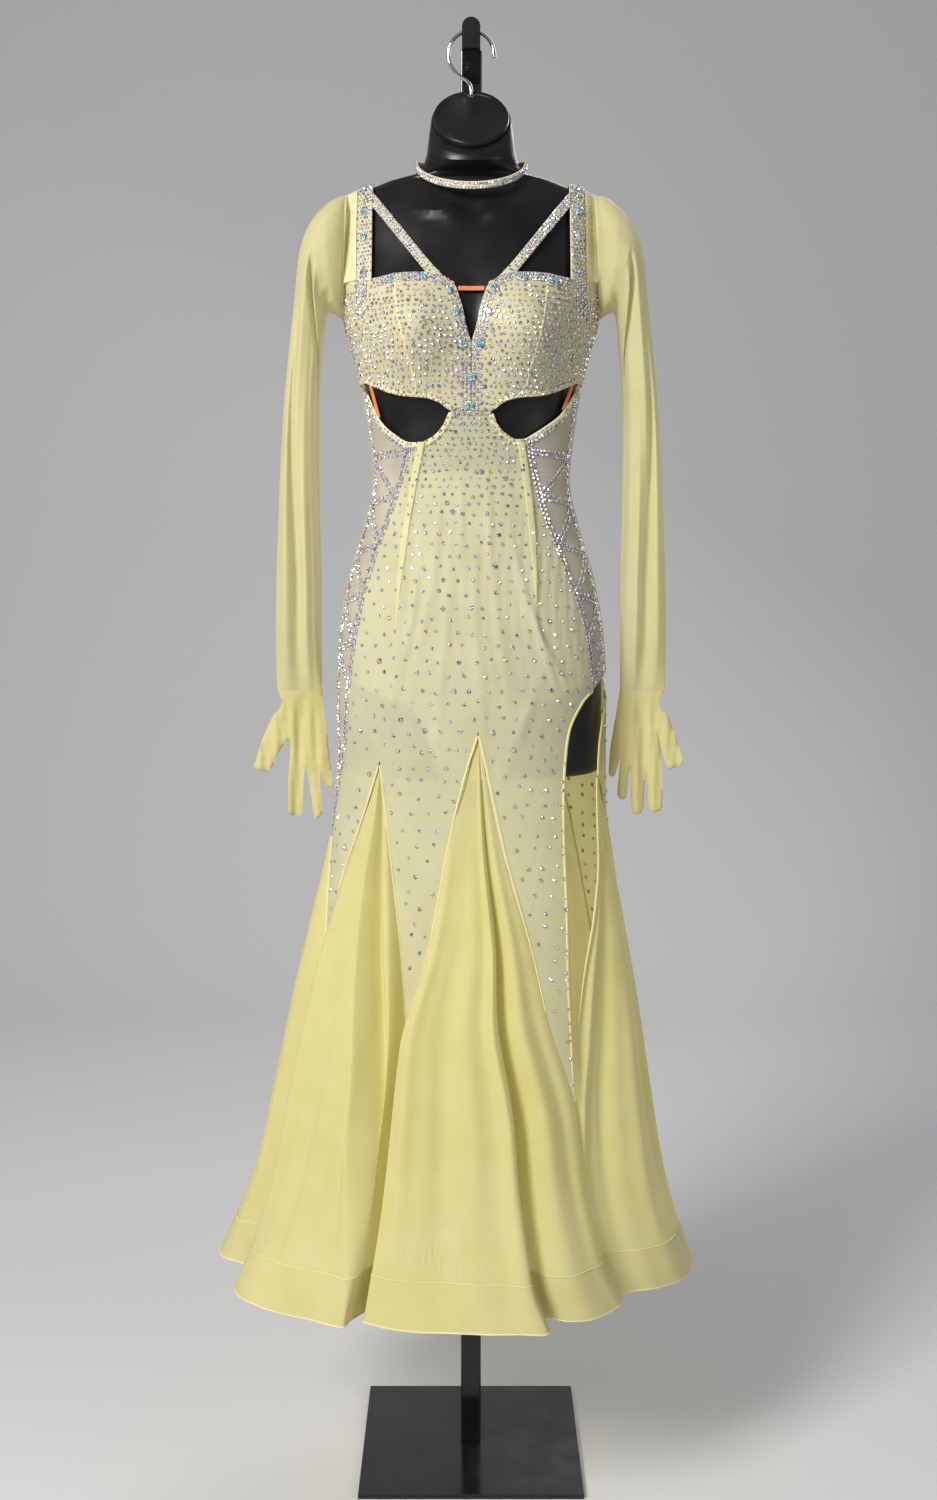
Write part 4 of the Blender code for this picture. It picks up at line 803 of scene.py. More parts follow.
def front_place(degrees, z):
    if z < HIP_Z:
        plain = skirt_point(degrees, z, tail_radius(degrees), CLOTH_OUT)
        blend = clamped((z - CREASE_FADE_Z) / CREASE_FADE)
        away = (plain - Vector((0, MID_Y, z))).normalized()
        return plain + away * front_crease(plain.x, z) * blend
    x = body_point(degrees, z).x
    return body_point(degrees, z, CLOTH_OUT + dart_fold(x, z) + front_crease(x, z))


Corner = namedtuple("Corner", "degrees z columns")
Tail = namedtuple("Tail", "low high tip_z radius apex_low_z apex_high_z")
TAIL_ROWS = 44
SETTLE_STEPS, SETTLE_SHARE = 9, 0.75    # how a row's heights are brought to agree with its top edge
SETTLE_START_Z = 1.25


def body_with_tails(corners, left, right, top, rows, place, tails):
    """Panel whose lowest row runs through the godets' apexes, with a tail hung on each stretch."""
    lowest, marks = [], [0]
    for start, end in zip(corners, corners[1:]):
        for i in range(start.columns):
            share = i / start.columns
            lowest.append((lerp(start.degrees, end.degrees, share), lerp(start.z, end.z, share)))
        marks.append(marks[-1] + start.columns)
    lowest.append((corners[-1].degrees, corners[-1].z))
    count = len(lowest) - 1
    points, faces = [], []
    for row in range(rows + 1):
        v = row / rows
        for i, (degrees, low_z) in enumerate(lowest):
            low_share = (degrees - left(low_z)) / (right(low_z) - left(low_z))
            share = lerp(0.0 if i == 0 else 1.0 if i == count else low_share, i / count, v)
            z = lerp(low_z, SETTLE_START_Z, v)
            for _ in range(SETTLE_STEPS):
                turn = lerp(left(z), right(z), share)
                z = lerp(z, lerp(low_z, top(turn, z), v), SETTLE_SHARE)
            points.append(place(turn, z))
    faces += rings_to_faces(rows + 1, count + 1, closed=False)
    for tail, first, last in zip(tails, marks, marks[1:]):
        start = len(points)
        width = last - first
        for row in range(TAIL_ROWS):
            v = row / TAIL_ROWS
            for i in range(width + 1):
                top_degrees, top_z = lowest[first + i]
                z = lerp(tail.tip_z, top_z, v)
                degrees = lerp(edge_degrees(tail.low, z), edge_degrees(tail.high, z), i / width)
                degrees = lerp(degrees, top_degrees, v**4 if 0 < i < width else 0.0)
                hem_radius = lerp(tail.radius, tail_radius(degrees), v**3)
                points.append(skirt_point(degrees, z, hem_radius, CLOTH_OUT))
        faces += [tuple(start + index for index in face)
                  for face in rings_to_faces(TAIL_ROWS, width + 1, closed=False)]
        upper = start + (TAIL_ROWS - 1) * (width + 1)
        faces += [(upper + i, upper + i + 1, first + i + 1, first + i) for i in range(width)]
    return points, faces


def midriff_rows(side):
    """Lower edge of a cutout; the right one is cut a little closer in."""
    return RIGHT_MIDRIFF_TOP if side > 0 else MIDRIFF_TOP


def midriff_top(x):
    return smooth(midriff_rows(x), abs(x))


def lattice_degrees(z, side):
    """Degrees from the front to the seam under the front band of stones."""
    rows = RIGHT_LATTICE if side > 0 else LATTICE
    return smooth(HIP_FLARE, z) if z < HIP_FLARE[-1].z else angle_at(smooth(rows, z), z)


def front_left(z):
    return SEAM_TURN - lattice_degrees(z, -1)


def front_right(z):
    edge = lattice_degrees(z, 1) - SEAM_TURN
    return min(smooth(SLIT_FRONT, z), edge) if z < SLIT_TOP_Z else edge


FRONT_TAILS = (Tail("left_tail_low", "left_tail_high", 0.668, 0.235, 0.790, 0.890),
               Tail("front_tail_low", "front_tail_high", 0.590, 0.168, 0.890, 0.926),
               Tail("slit_tail_low", "slit_tail_high", 0.507, 0.222, 0.926, 0.905))
front_corners = (Corner(-88, 0.790, 30), Corner(-38.4, 0.890, 36), Corner(2.0, 0.926, 36),
                 Corner(41.7, 0.905, 0))
front_points, front_faces = body_with_tails(
    front_corners, front_left, front_right,
    lambda turn, z: midriff_top(body_point(turn, z).x), 150, front_place, FRONT_TAILS)
body_net = cloth_finish("lemon_body_net", (0.71, 0.69, 0.45), (0.65, 0.63, 0.40), see_through=0.17,
                        glow=0.25)
dart_tape = cloth_finish("dart_tape", (0.77, 0.73, 0.40), (0.72, 0.67, 0.36), rough=0.65,
                         see_through=0.22, glow=0.10)
front_body = add_piece("front_body_net", front_points, front_faces, body_net, ["front_body"])

joint = [surface_frame(on_body, math.copysign(angle_at(abs(x), 1.279), x), 1.279)
         for x in steps_between(-0.0222, 0.0222, 24)]
front_trims = [ribbon("centre_joint", joint, 0.0110, 0.0004, body_net)]

LEG_LINE = (Top(0.0, 0.8690), Top(0.036, 0.8700), Top(0.045, 0.9000), Top(0.056, 0.9350),
            Top(0.075, 0.9550), Top(0.110, 0.9650), Top(0.150, 0.9850))
BRIEF_TURN, BRIEF_TOP, BRIEF_IN = 64.0, 1.215, -0.0012
brief_points, brief_faces = body_sheet(
    60, 60, lambda z: -BRIEF_TURN, lambda z: BRIEF_TURN, lambda x: height_on(LEG_LINE, x),
    lambda x: BRIEF_TOP, lambda degrees, z: body_point(degrees, z, BRIEF_IN))
nude_lining = cloth_finish("nude_lining", (0.64, 0.57, 0.46), (0.58, 0.51, 0.41), rough=0.6, glow=0.10)
brief = add_piece("lining_brief", brief_points, brief_faces, nude_lining)

for side, word, dart_end in ((-1, "left", 1.034), (1, "right", 1.068)):
    dart = [surface_frame(front_place, side * angle_at(dart_x(side, z), z), z)
            for z in steps_between(dart_end, 1.2455, 90)]
    front_trims.append(ribbon(f"{word}_dart_tape", dart,
                              lambda share: 0.0078 * min(1.0, 0.12 + share / 0.45), 0.0005, dart_tape))
    rim = edge_frames(midriff_rows(side), steps_between(0.0215, 0.1170, 90), side, -0.0028)
    front_trims.append(ribbon(f"{word}_midriff_binding", rim, 0.0058, 0.0009, net_binding))
SLIT_BINDING_TURN = 0.9     # degrees from the slit's edge to the middle of its binding
slit_front_edge = [surface_frame(front_place, smooth(SLIT_FRONT, z) - SLIT_BINDING_TURN, z)
                   for z in steps_between(0.515, 0.966, 160)]
front_trims.append(ribbon("slit_front_binding", slit_front_edge,
                          lambda share: 0.0030 * min(1.0, 0.1 + share / 0.12), 0.0008, lemon_binding))

# ---------------------------------------------------------------- side mesh
# Fine nude net at each side, from the cutout down to the hip, seen between the bands of stones.
# It is stretched on the straight and sewn to the front body and the back body.
nude_net = cloth_finish("nude_side_net", (0.58, 0.53, 0.40), (0.46, 0.42, 0.33), rough=0.6, see_through=0.18,
                        glow=0.10, weave=900.0)


def side_place(degrees, z):
    if z < HIP_Z:
        return skirt_point(degrees, z, tail_radius(degrees), CLOTH_OUT)
    return body_point(degrees, z, CLOTH_OUT)


for side, word, bottom, corner_rise in ((-1, "left", 0.7905, 0.0),
                                        (1, "right", SLIT_TOP_Z + 0.0003, 0.018)):
    def inner(z, side=side):
        return side * (lattice_degrees(z, side) + SEAM_TURN)

    def outer(z, side=side):
        return side * (SIDE_SEAM - SEAM_TURN)

    def low(x, bottom=bottom, corner_rise=corner_rise):
        return bottom + corner_rise * clamped((abs(x) - 0.140) / 0.016)

    first, last = (inner, outer) if side > 0 else (outer, inner)
    points, faces = body_sheet(24, 110, first, last, low, midriff_top, side_place)
    net = add_piece(f"{word}_side_net", points, faces, nude_net, [f"{word}_side_mesh"])

# ---------------------------------------------------------------- back body
# One piece of the same net across the back, cut low in a wide scoop, with four tails between the
# godets. It is sewn to the side nets and takes the ends of the shoulder straps.
Scoop = namedtuple("Scoop", "degrees z")
BACK_TOP = (Scoop(94, 1.3890), Scoop(112, 1.4000), Scoop(131, 1.4010), Scoop(141, 1.3880),
            Scoop(154, 1.335), Scoop(167, 1.278), Scoop(180, 1.262))
BACK_ARMHOLE = (Side(1.31, SIDE_SEAM), Side(1.365, 96.3), Side(1.39, 94.6))


def back_top_z(degrees):
    return smooth(BACK_TOP, 180 - abs(180 - degrees))


def back_side(z):
    return smooth(BACK_ARMHOLE, z) + SEAM_TURN


def back_right(z):
    return smooth(SLIT_BACK, z) if z < SLIT_TOP_Z else back_side(z)


BACK_TAILS = (Tail("right_tail_low", "right_tail_high", 0.640, 0.200, 0.872, 0.860),
              Tail("back_tail_low", "back_tail_high", 0.640, 0.190, 0.860, 0.900),
              Tail("far_tail_low", "far_tail_high", 0.640, 0.190, 0.900, 0.860),
              Tail("corner_tail_low", "corner_tail_high", 0.640, 0.200, 0.860, 0.790))
back_corners = (Corner(65.45, 0.872, 34), Corner(138.0, 0.860, 24), Corner(180.0, 0.900, 24),
                Corner(222.0, 0.860, 24), Corner(262.0, 0.790, 0))
back_points, back_faces = body_with_tails(
    back_corners, back_right, lambda z: 360 - back_side(z), lambda turn, z: back_top_z(turn), 120,
    side_place, BACK_TAILS)
# Painted light: this is the same net as the front body, but its colour is painted brighter and more yellow so
# that the inside of the skirt seen through the slit looks lit.
back_net_painted_bright = cloth_finish("lemon_back_net", (0.86, 0.80, 0.36), (0.80, 0.73, 0.30), glow=0.62)
back_body = add_piece("back_body_net", back_points, back_faces, back_net_painted_bright, ["back_body"])
slit_back_edge = [surface_frame(side_place, smooth(SLIT_BACK, z) + SLIT_BINDING_TURN, z)
                  for z in steps_between(0.868, 0.961, 60)]
slit_back_binding = ribbon("slit_back_binding", slit_back_edge, 0.0032, 0.0008, lemon_binding)
scoop = [surface_frame(on_body, degrees, back_top_z(degrees) - 0.003)
         for degrees in steps_between(95.5, 264.5, 220)]
scoop_binding = ribbon("back_scoop_binding", scoop, 0.0060, 0.0009, lemon_binding)

# ---------------------------------------------------------------- godets
# Seven flared godets of two-layer lemon chiffon, set between the tails from an apex down to the
# hem. The cloth hangs in deep rounded folds, with the slit left open beside the front godet.
SKIRT_OUT = -0.0010     # the chiffon's middle is just inside the skirt's surface
PIPING_OUT = 0.0006     # and its piping is just outside it
Lobe = namedtuple("Lobe", "across radius")
Fold = namedtuple("Fold", "across lean width depth start_z")
# high_turn is added to the degrees of its high seam. bow is how far its folds move aside to hang
# straight although its seams are curved. overhang is the degrees by which its last fold hangs over
# the seam beside it, and puckered says that the lining of its hem pulls.
Godet = namedtuple("Godet", "name low high apex_z lobes folds high_turn bow overhang puckered",
                   defaults=(0, 0.0, 0.0, False))
GODETS = (
    Godet("front_godet", "front_tail_high", "slit_tail_low", 0.921,
          (Lobe(0, 0.168), Lobe(0.04, 0.232), Lobe(0.18, 0.233), Lobe(0.37, 0.228), Lobe(0.54, 0.235),
           Lobe(0.632, 0.244), Lobe(0.677, 0.206), Lobe(0.73, 0.224), Lobe(0.83, 0.235), Lobe(0.93, 0.232),
           Lobe(1, 0.222)),
          (Fold(0.12, -0.02, 0.032, 0.0065, 0.80), Fold(0.30, 0.02, 0.036, -0.0052, 0.70),
           Fold(0.46, 0.00, 0.034, 0.0055, 0.80),
           Fold(0.612, 0.00, 0.020, 0.0065, 0.90), Fold(0.682, 0.00, 0.022, -0.0085, 0.90),
           Fold(0.790, 0.00, 0.034, 0.0060, 0.86), Fold(0.90, 0.02, 0.026, -0.0040, 0.66)),
          bow=0.020, puckered=True),
    Godet("left_front_godet", "left_tail_high", "front_tail_low", 0.885,
          (Lobe(0, 0.235), Lobe(0.12, 0.283), Lobe(0.30, 0.298), Lobe(0.50, 0.288), Lobe(0.72, 0.270),
           Lobe(0.90, 0.255), Lobe(0.955, 0.245), Lobe(0.98, 0.225), Lobe(1, 0.168)),
          (Fold(0.22, 0.03, 0.036, 0.0060, 0.80), Fold(0.46, 0.02, 0.036, -0.0045, 0.66),
           Fold(0.66, -0.02, 0.030, 0.0030, 0.60),
           Fold(0.91, -0.33, 0.020, 0.0100, 0.87), Fold(0.98, -0.27, 0.026, -0.0180, 0.87)),
          overhang=5.0),
    Godet("left_side_godet", "corner_tail_high", "left_tail_low", 0.7895,
          (Lobe(0, 0.200), Lobe(0.12, 0.272), Lobe(0.28, 0.305), Lobe(0.44, 0.268), Lobe(0.58, 0.308),
           Lobe(0.76, 0.306), Lobe(0.90, 0.280), Lobe(1, 0.235)),
          (Fold(0.20, 0.02, 0.022, -0.0055, 0.66), Fold(0.35, 0.00, 0.020, 0.0050, 0.62),
           Fold(0.66, -0.02, 0.024, -0.0060, 0.68), Fold(0.83, 0.02, 0.020, 0.0050, 0.60)),
          high_turn=360),
    Godet("left_back_godet", "far_tail_high", "corner_tail_low", 0.855,
          (Lobe(0, 0.190), Lobe(0.15, 0.262), Lobe(0.35, 0.283), Lobe(0.52, 0.232), Lobe(0.66, 0.285),
           Lobe(0.86, 0.270), Lobe(1, 0.200)),
          (Fold(0.24, 0.02, 0.026, -0.0060, 0.70), Fold(0.43, 0.00, 0.020, 0.0055, 0.66),
           Fold(0.75, -0.02, 0.024, -0.0060, 0.70), Fold(0.91, 0.00, 0.018, 0.0050, 0.62))),
    Godet("back_godet", "back_tail_high", "far_tail_low", 0.895,
          (Lobe(0, 0.190), Lobe(0.17, 0.265), Lobe(0.36, 0.283), Lobe(0.51, 0.226), Lobe(0.64, 0.285),
           Lobe(0.84, 0.266), Lobe(1, 0.190)),
          (Fold(0.10, 0.02, 0.020, -0.0050, 0.72), Fold(0.27, 0.00, 0.026, -0.0060, 0.76),
           Fold(0.44, 0.00, 0.018, 0.0055, 0.70), Fold(0.57, 0.02, 0.018, 0.0050, 0.70),
           Fold(0.74, -0.02, 0.026, -0.0060, 0.76), Fold(0.92, -0.02, 0.018, 0.0050, 0.64))),
    Godet("right_back_godet", "right_tail_high", "back_tail_low", 0.855,
          (Lobe(0, 0.200), Lobe(0.14, 0.268), Lobe(0.33, 0.281), Lobe(0.47, 0.230), Lobe(0.63, 0.284),
           Lobe(0.84, 0.265), Lobe(1, 0.190)),
          (Fold(0.08, 0.00, 0.018, 0.0050, 0.62), Fold(0.23, -0.02, 0.024, -0.0060, 0.70),
           Fold(0.55, 0.00, 0.020, 0.0055, 0.66), Fold(0.74, 0.02, 0.026, -0.0060, 0.70))),
    Godet("right_side_godet", "slit_back", "right_tail_low", 0.866,
          (Lobe(0, 0.207), Lobe(0.12, 0.213), Lobe(0.25, 0.245), Lobe(0.38, 0.266), Lobe(0.52, 0.270),
           Lobe(0.62, 0.224), Lobe(0.74, 0.268), Lobe(0.90, 0.270), Lobe(1, 0.200)),
          (Fold(0.07, 0.00, 0.014, 0.0050, 0.78), Fold(0.18, 0.02, 0.020, -0.0055, 0.72),
           Fold(0.31, 0.02, 0.022, 0.0055, 0.62), Fold(0.45, 0.00, 0.024, -0.0060, 0.70),
           Fold(0.69, 0.00, 0.016, 0.0050, 0.66), Fold(0.82, -0.02, 0.024, -0.0060, 0.72))),
)
HEM_Z, HEM_BAND_TOP = 0.275, 0.3255
OVERHANG_START = 0.80       # share across a godet where the overhanging fold begins
FINE_WEAVE = {"weave": 1800.0, "depth": 0.00015, "sheen": 0.6}
hem_chiffon = cloth_finish("doubled_hem_chiffon", (0.80, 0.755, 0.39), (0.76, 0.705, 0.34), rough=0.60,
                           glow=0.42, **FINE_WEAVE)
chiffon = cloth_finish("lemon_chiffon", (0.83, 0.78, 0.38), (0.79, 0.73, 0.31), rough=0.62,
                       see_through=0.05, glow=0.42, **FINE_WEAVE)
piping_bias = cloth_finish("piping_bias", (0.83, 0.77, 0.42), (0.77, 0.71, 0.36), rough=0.6, glow=0.20)


HEM_FIRM, HEM_FREE = 0.15, 0.22     # share of a fold left at the hem; height where it is whole
FOLD_SPREAD, APEX_SPREAD = 1.5, 2.2     # a fold's width at the hem and what is added at the apex
FOLD_GROWTH, FOLD_GAIN = 0.26, 1.25     # height over which it grows, and its depth times this
SEAM_HOLD = 0.05                        # share of the width over which the seams hold it in


def fold_rise(godet, u, z):
    """How far the cloth stands out or in for its hanging folds, which ease off at the firm hem."""
    rise, down = 0.0, (godet.apex_z - z) / (godet.apex_z - HEM_Z)
    hem_ease = lerp(HEM_FIRM, 1.0, clamped((z - HEM_Z) / HEM_FREE))
    spread = FOLD_SPREAD + APEX_SPREAD * (1 - down)**3
    for fold in godet.folds:
        grown = clamped((fold.start_z - z) / FOLD_GROWTH)
        across = (u - fold.across - fold.lean * (1 - down)) / (spread * fold.width)
        if abs(across) < 3 and grown:
            rise += fold.depth * FOLD_GAIN * grown**0.7 * hem_ease * math.exp(-across**2)
    return rise * min(1.0, u / SEAM_HOLD, (1 - u) / SEAM_HOLD)


PUCKER_FROM, PUCKER_REACH, PUCKER_Z, PUCKER_DEPTH = 0.04, 0.46, 0.342, 0.0013


def hem_pucker(godet, u, z):
    """Fine slanting puckers just above the hem band, where a godet's lining pulls."""
    if not godet.puckered or not PUCKER_FROM < u < PUCKER_FROM + PUCKER_REACH:
        return 0.0
    window = math.sin(math.pi * (u - PUCKER_FROM) / PUCKER_REACH)
    height = (z - PUCKER_Z - 0.012 * math.sin(9 * u)) / 0.011
    pulls = math.sin(170 * u + 240 * z) * math.sin(61 * u + 1.1) + 0.4 * math.sin(290 * u - 180 * z)
    return PUCKER_DEPTH * window * math.exp(-height**2) * pulls


def godet_point(godet, u, z, out):
    """Point on a godet at a share of the way across and a height, moved out of the skirt."""
    gap = math.degrees(0.0003 / (0.14 + 0.06 * smooth(SKIRT, z)))
    low = edge_degrees(godet.low, z) + gap
    high = edge_degrees(godet.high, z) + godet.high_turn - gap
    across = u
    if godet.bow:
        down = (godet.apex_z - z) / (godet.apex_z - HEM_Z)
        across += godet.bow * math.sin(math.pi * down) * math.sin(math.pi * u)
    out += fold_rise(godet, across, z) + hem_pucker(godet, u, z)
    degrees = lerp(low, high, u)
    if godet.overhang and u > OVERHANG_START:
        aside = math.sin(math.pi * (u - OVERHANG_START) / 0.20)
        degrees += godet.overhang * aside**2 * smooth(SKIRT, z)
    return skirt_point(degrees, z, smooth(godet.lobes, across), out)


def godet_frame(godet, u, z):
    """Point and outward direction on a godet's cloth."""
    inside = 0.02 if u < 0.5 else -0.02
    point = godet_point(godet, u, z, PIPING_OUT)
    across = (godet_point(godet, u + inside, z, PIPING_OUT) - point) * (1 if inside > 0 else -1)
    up = godet_point(godet, u, z + 0.002, PIPING_OUT) - point
    return point, across.cross(up).normalized()


def hem_tube(name, points, radius, finish):
    """Rolled hem: a thin round roll along a row of points."""
    around, rings = 6, []
    for index, point in enumerate(points):
        along = (points[min(len(points) - 1, index + 1)] - points[max(0, index - 1)]).normalized()
        up = Vector((0, 0, 1))
        across = along.cross(up).normalized()
        for i in range(around):
            turn = 2 * math.pi * i / around
            rings.append(point + across * radius * math.cos(turn) + up * radius * math.sin(turn))
    faces = rings_to_faces(len(points), around) + end_faces(around, len(rings))
    return add_piece(name, rings, faces, finish)


COLUMNS, ROWS, BAND_ROWS = 170, 100, 8
HEM_ROLL, STITCH_ROLL = 0.0013, 0.0006      # radii of the rolled hem and of the ridge above the band
PIPING_FOOT = 0.52          # the piping runs from this share of a godet's height to its apex


def across_godet(godet, z, out):
    """Row of points from seam to seam of a godet at one height."""
    return [godet_point(godet, i / COLUMNS, z, out) for i in range(COLUMNS + 1)]


for godet in GODETS:
    points, faces = cloth_grid(COLUMNS, ROWS, lambda u, v, godet=godet: godet_point(
        godet, u, lerp(HEM_Z, godet.apex_z, v), SKIRT_OUT))
    cloth = add_piece(f"{godet.name}_chiffon", points, faces, chiffon, [godet.name])
    band_points, band_faces = cloth_grid(COLUMNS, BAND_ROWS, lambda u, v, godet=godet: godet_point(
        godet, u, lerp(HEM_Z + 0.0005, HEM_BAND_TOP, v), SKIRT_OUT + 0.0010))
    band = add_piece(f"{godet.name}_hem_band", band_points, band_faces, hem_chiffon)
    hem = across_godet(godet, HEM_Z + 0.0012, SKIRT_OUT)
    roll = hem_tube(f"{godet.name}_rolled_hem", hem, HEM_ROLL, lemon_binding)
    crest = across_godet(godet, HEM_BAND_TOP, SKIRT_OUT + 0.0012)
    stitching = hem_tube(f"{godet.name}_hem_seam", crest, STITCH_ROLL, lemon_binding)
    for word, share in (("low", 0.0), ("high", 1.0)):
        tip_z = lerp(HEM_Z, godet.apex_z, PIPING_FOOT)
        line = [godet_frame(godet, share, z) for z in steps_between(tip_z, godet.apex_z - 0.001, 110)]
        ribbon(f"{godet.name}_{word}_piping", line,
                            lambda place: 0.0036 * min(1.0, 0.10 + place / 0.5), 0.0009, piping_bias)
    height = godet.apex_z - HEM_Z

# ---------------------------------------------------------------- sleeves
# Long set-in sleeves of one layer of lemon chiffon, gathered over the shoulder, hanging empty.
# Each is one flared cut with a single seam down the inside of the arm.
Cuff = namedtuple("Cuff", "outer_x outer_z inner_x inner_z depth")
SLEEVE = (
    Cuff(0.1390, 1.5240, 0.1466, 1.3895, 0.025),
    Cuff(0.1450, 1.5262, 0.1490, 1.3905, 0.041),
    Cuff(0.1560, 1.5220, 0.1530, 1.3930, 0.050),
    Cuff(0.1685, 1.5125, 0.1580, 1.3960, 0.054),
    Cuff(0.1815, 1.4975, 0.1628, 1.3975, 0.054),
    Cuff(0.1912, 1.4775, 0.1652, 1.3960, 0.053),
    Cuff(0.1970, 1.4540, 0.1664, 1.3930, 0.051),
    Cuff(0.2004, 1.4223, 0.1676, 1.3860, 0.050),
    Cuff(0.2040, 1.3909, 0.1690, 1.3740, 0.049),
    Cuff(0.2084, 1.3549, 0.1710, 1.3500, 0.048),
    Cuff(0.2150, 1.2950, 0.1750, 1.2950, 0.046),
    Cuff(0.2205, 1.2200, 0.1762, 1.2200, 0.044),
    Cuff(0.2240, 1.1500, 0.1755, 1.1500, 0.042),
    Cuff(0.2270, 1.0850, 0.1745, 1.0850, 0.038),
    Cuff(0.2286, 1.0250, 0.1752, 1.0250, 0.028),
    Cuff(0.2285, 0.9850, 0.1752, 0.9850, 0.0140),
    Cuff(0.2278, 0.9616, 0.1752, 0.9616, 0.0046),
)
# Hanging folds. path: (row, degrees round the sleeve); width in degrees; depth as a share of the
# sleeve's own; it grows from the row first to the row last.
Groove = namedtuple("Groove", "path width depth first last")
GROOVES = (
    Groove(((7, 62), (10, 70), (12, 84), (13, 89), (16, 90)), 12, 0.34, 7.0, 11.5),
    Groove(((4, 78), (5, 86), (7, 106), (8.5, 130), (10, 158), (16, 170)), 7, 0.34, 4.2, 5.6),
    Groove(((4, 92), (5, 99), (7, 119), (8.5, 143), (10, 165), (16, 175)), 8, -0.16, 4.4, 6.0),
    Groove(((2, 126), (5, 150), (7, 168)), 9, 0.16, 2.4, 4.2),
    Groove(((7, 40), (12, 52), (16, 58)), 11, -0.08, 8.0, 12.0),
    Groove(((9, 104), (16, 112)), 9, -0.10, 9.0, 12.0),
    Groove(((9, 126), (16, 132)), 7, 0.07, 9.5, 12.5),
    Groove(((7, 258), (16, 262)), 14, 0.22, 7.0, 12.0),
    Groove(((6, 296), (16, 290)), 12, 0.14, 6.0, 11.0),
)
SLEEVE_FOLD, SLEEVE_ROUNDNESS = 0.0022, 0.85
SEAM_OPENING = math.radians(1.0)    # from the seam to each edge of the cut
SLEEVE_COLUMNS = [tuple((index, row[column]) for index, row in enumerate(SLEEVE)) for column in range(5)]
sleeve_chiffon = cloth_finish("sleeve_chiffon", (0.76, 0.72, 0.39), (0.71, 0.66, 0.33), rough=0.62,
                              see_through=0.34, glow=0.26, **FINE_WEAVE)


def sleeve_point(side, row, turn, out=0.0):
    """Point of a sleeve; long soft folds run down the tube below the rounded head."""
    outer_x, outer_z, inner_x, inner_z, depth = [smooth(rows, row) for rows in SLEEVE_COLUMNS]
    middle = Vector((outer_x + inner_x, 0, outer_z + inner_z)) / 2
    half = Vector((outer_x - inner_x, 0, outer_z - inner_z)) / 2
    fold = 1 - SLEEVE_FOLD * min(1, row / 7) * (1 + math.cos(6 * turn + row * 0.15)) / 0.05
    crease = 1 + 0.010 * math.sin(15 * turn - 0.25 * row + 1.3) * min(1.0, row / 8)
    for groove in GROOVES:
        grown = clamped((row - groove.first) / (groove.last - groove.first))
        across = (math.degrees(turn) % 360 - smooth(groove.path, row)) / groove.width
        crease -= groove.depth * grown * math.exp(-across**2)
    point = middle + half * signed_power(math.cos(turn), SLEEVE_ROUNDNESS)
    deep = depth * crease - 0.0008 + out
    point.y = MID_Y - deep * signed_power(math.sin(turn), SLEEVE_ROUNDNESS) * fold
    return Vector((side * point.x, point.y, point.z))


for side, word in SIDES:
    points, faces = cloth_grid(96, 180, lambda u, v, side=side: sleeve_point(
        side, v * (len(SLEEVE) - 1), lerp(math.pi + SEAM_OPENING, 3 * math.pi - SEAM_OPENING, u)))
    sleeve = add_piece(f"{word}_sleeve_chiffon", points, faces, sleeve_chiffon, [f"{word}_sleeve"])
    head = []
    for turn in steps_between(math.radians(-8), math.radians(188), 60):
        away = Vector((side * 0.25, -math.sin(turn), 0.6 * math.cos(turn))).normalized()
        head.append((sleeve_point(side, 0.55, turn), away))
    armhole_seam = ribbon(f"{word}_armhole_seam", head, 0.0050, 0.0006, sleeve_chiffon)

# ---------------------------------------------------------------- shoulder straps and neck straps
# Wide straps of doubled net over a soft interfacing, from the cups over the form's shoulders to
# the back. A narrow strap slants from each cup to the strap's inner edge. All are edged in yellow.
STRAP_INNER, STRAP_OUTER = 0.1102, 0.1375
SEAM_START = 0.62       # share of the strap's width where the sleeve's gathered seam begins
SHOULDER_END_X, SHOULDER_END_Z, SHOULDER_SLOPE = 0.1315, 1.5270, 0.385
ShoulderBend = namedtuple("ShoulderBend", "forward drop")
SHOULDER_ARC = (ShoulderBend(-0.0290, -0.0150), ShoulderBend(-0.0225, -0.0050),
                ShoulderBend(-0.0110, -0.0003), ShoulderBend(0.0110, -0.0003),
                ShoulderBend(0.0290, -0.0045), ShoulderBend(0.0360, -0.0150))
STRAP_FRONT_LEVELS = (1.4230, 1.4500, 1.4700, 1.4900, 1.5040)
STRAP_BACK_LEVELS = (1.5040, 1.4850, 1.4600, 1.4300, 1.4020)
SHOULDER_FRONT_DEPTH, SHOULDER_BACK_DEPTH = 0.037, 0.050    # where the shoulder is at its full depth
strap_net = cloth_finish("strap_net", (0.62, 0.58, 0.36), (0.52, 0.48, 0.31), glow=0.05)


def strap_route(x):
    """Underside of a strap at a distance from the centre, from the cup over to the back."""
    front = [body_point(angle_at(x, z), z) for z in STRAP_FRONT_LEVELS]
    back = [body_point(180 - angle_at(x, z), z) for z in STRAP_BACK_LEVELS]
    front_share = min(1.0, (MID_Y - front[3].y) / SHOULDER_FRONT_DEPTH)
    back_share = min(1.0, (back[1].y - MID_Y) / SHOULDER_BACK_DEPTH)
    shoulder_z = SHOULDER_END_Z + SHOULDER_SLOPE * (SHOULDER_END_X - x) + 0.0006
    over = [Vector((x, MID_Y + bend.forward * (front_share if bend.forward < 0 else back_share),
                    shoulder_z + bend.drop)) for bend in SHOULDER_ARC]
    return front + over + back


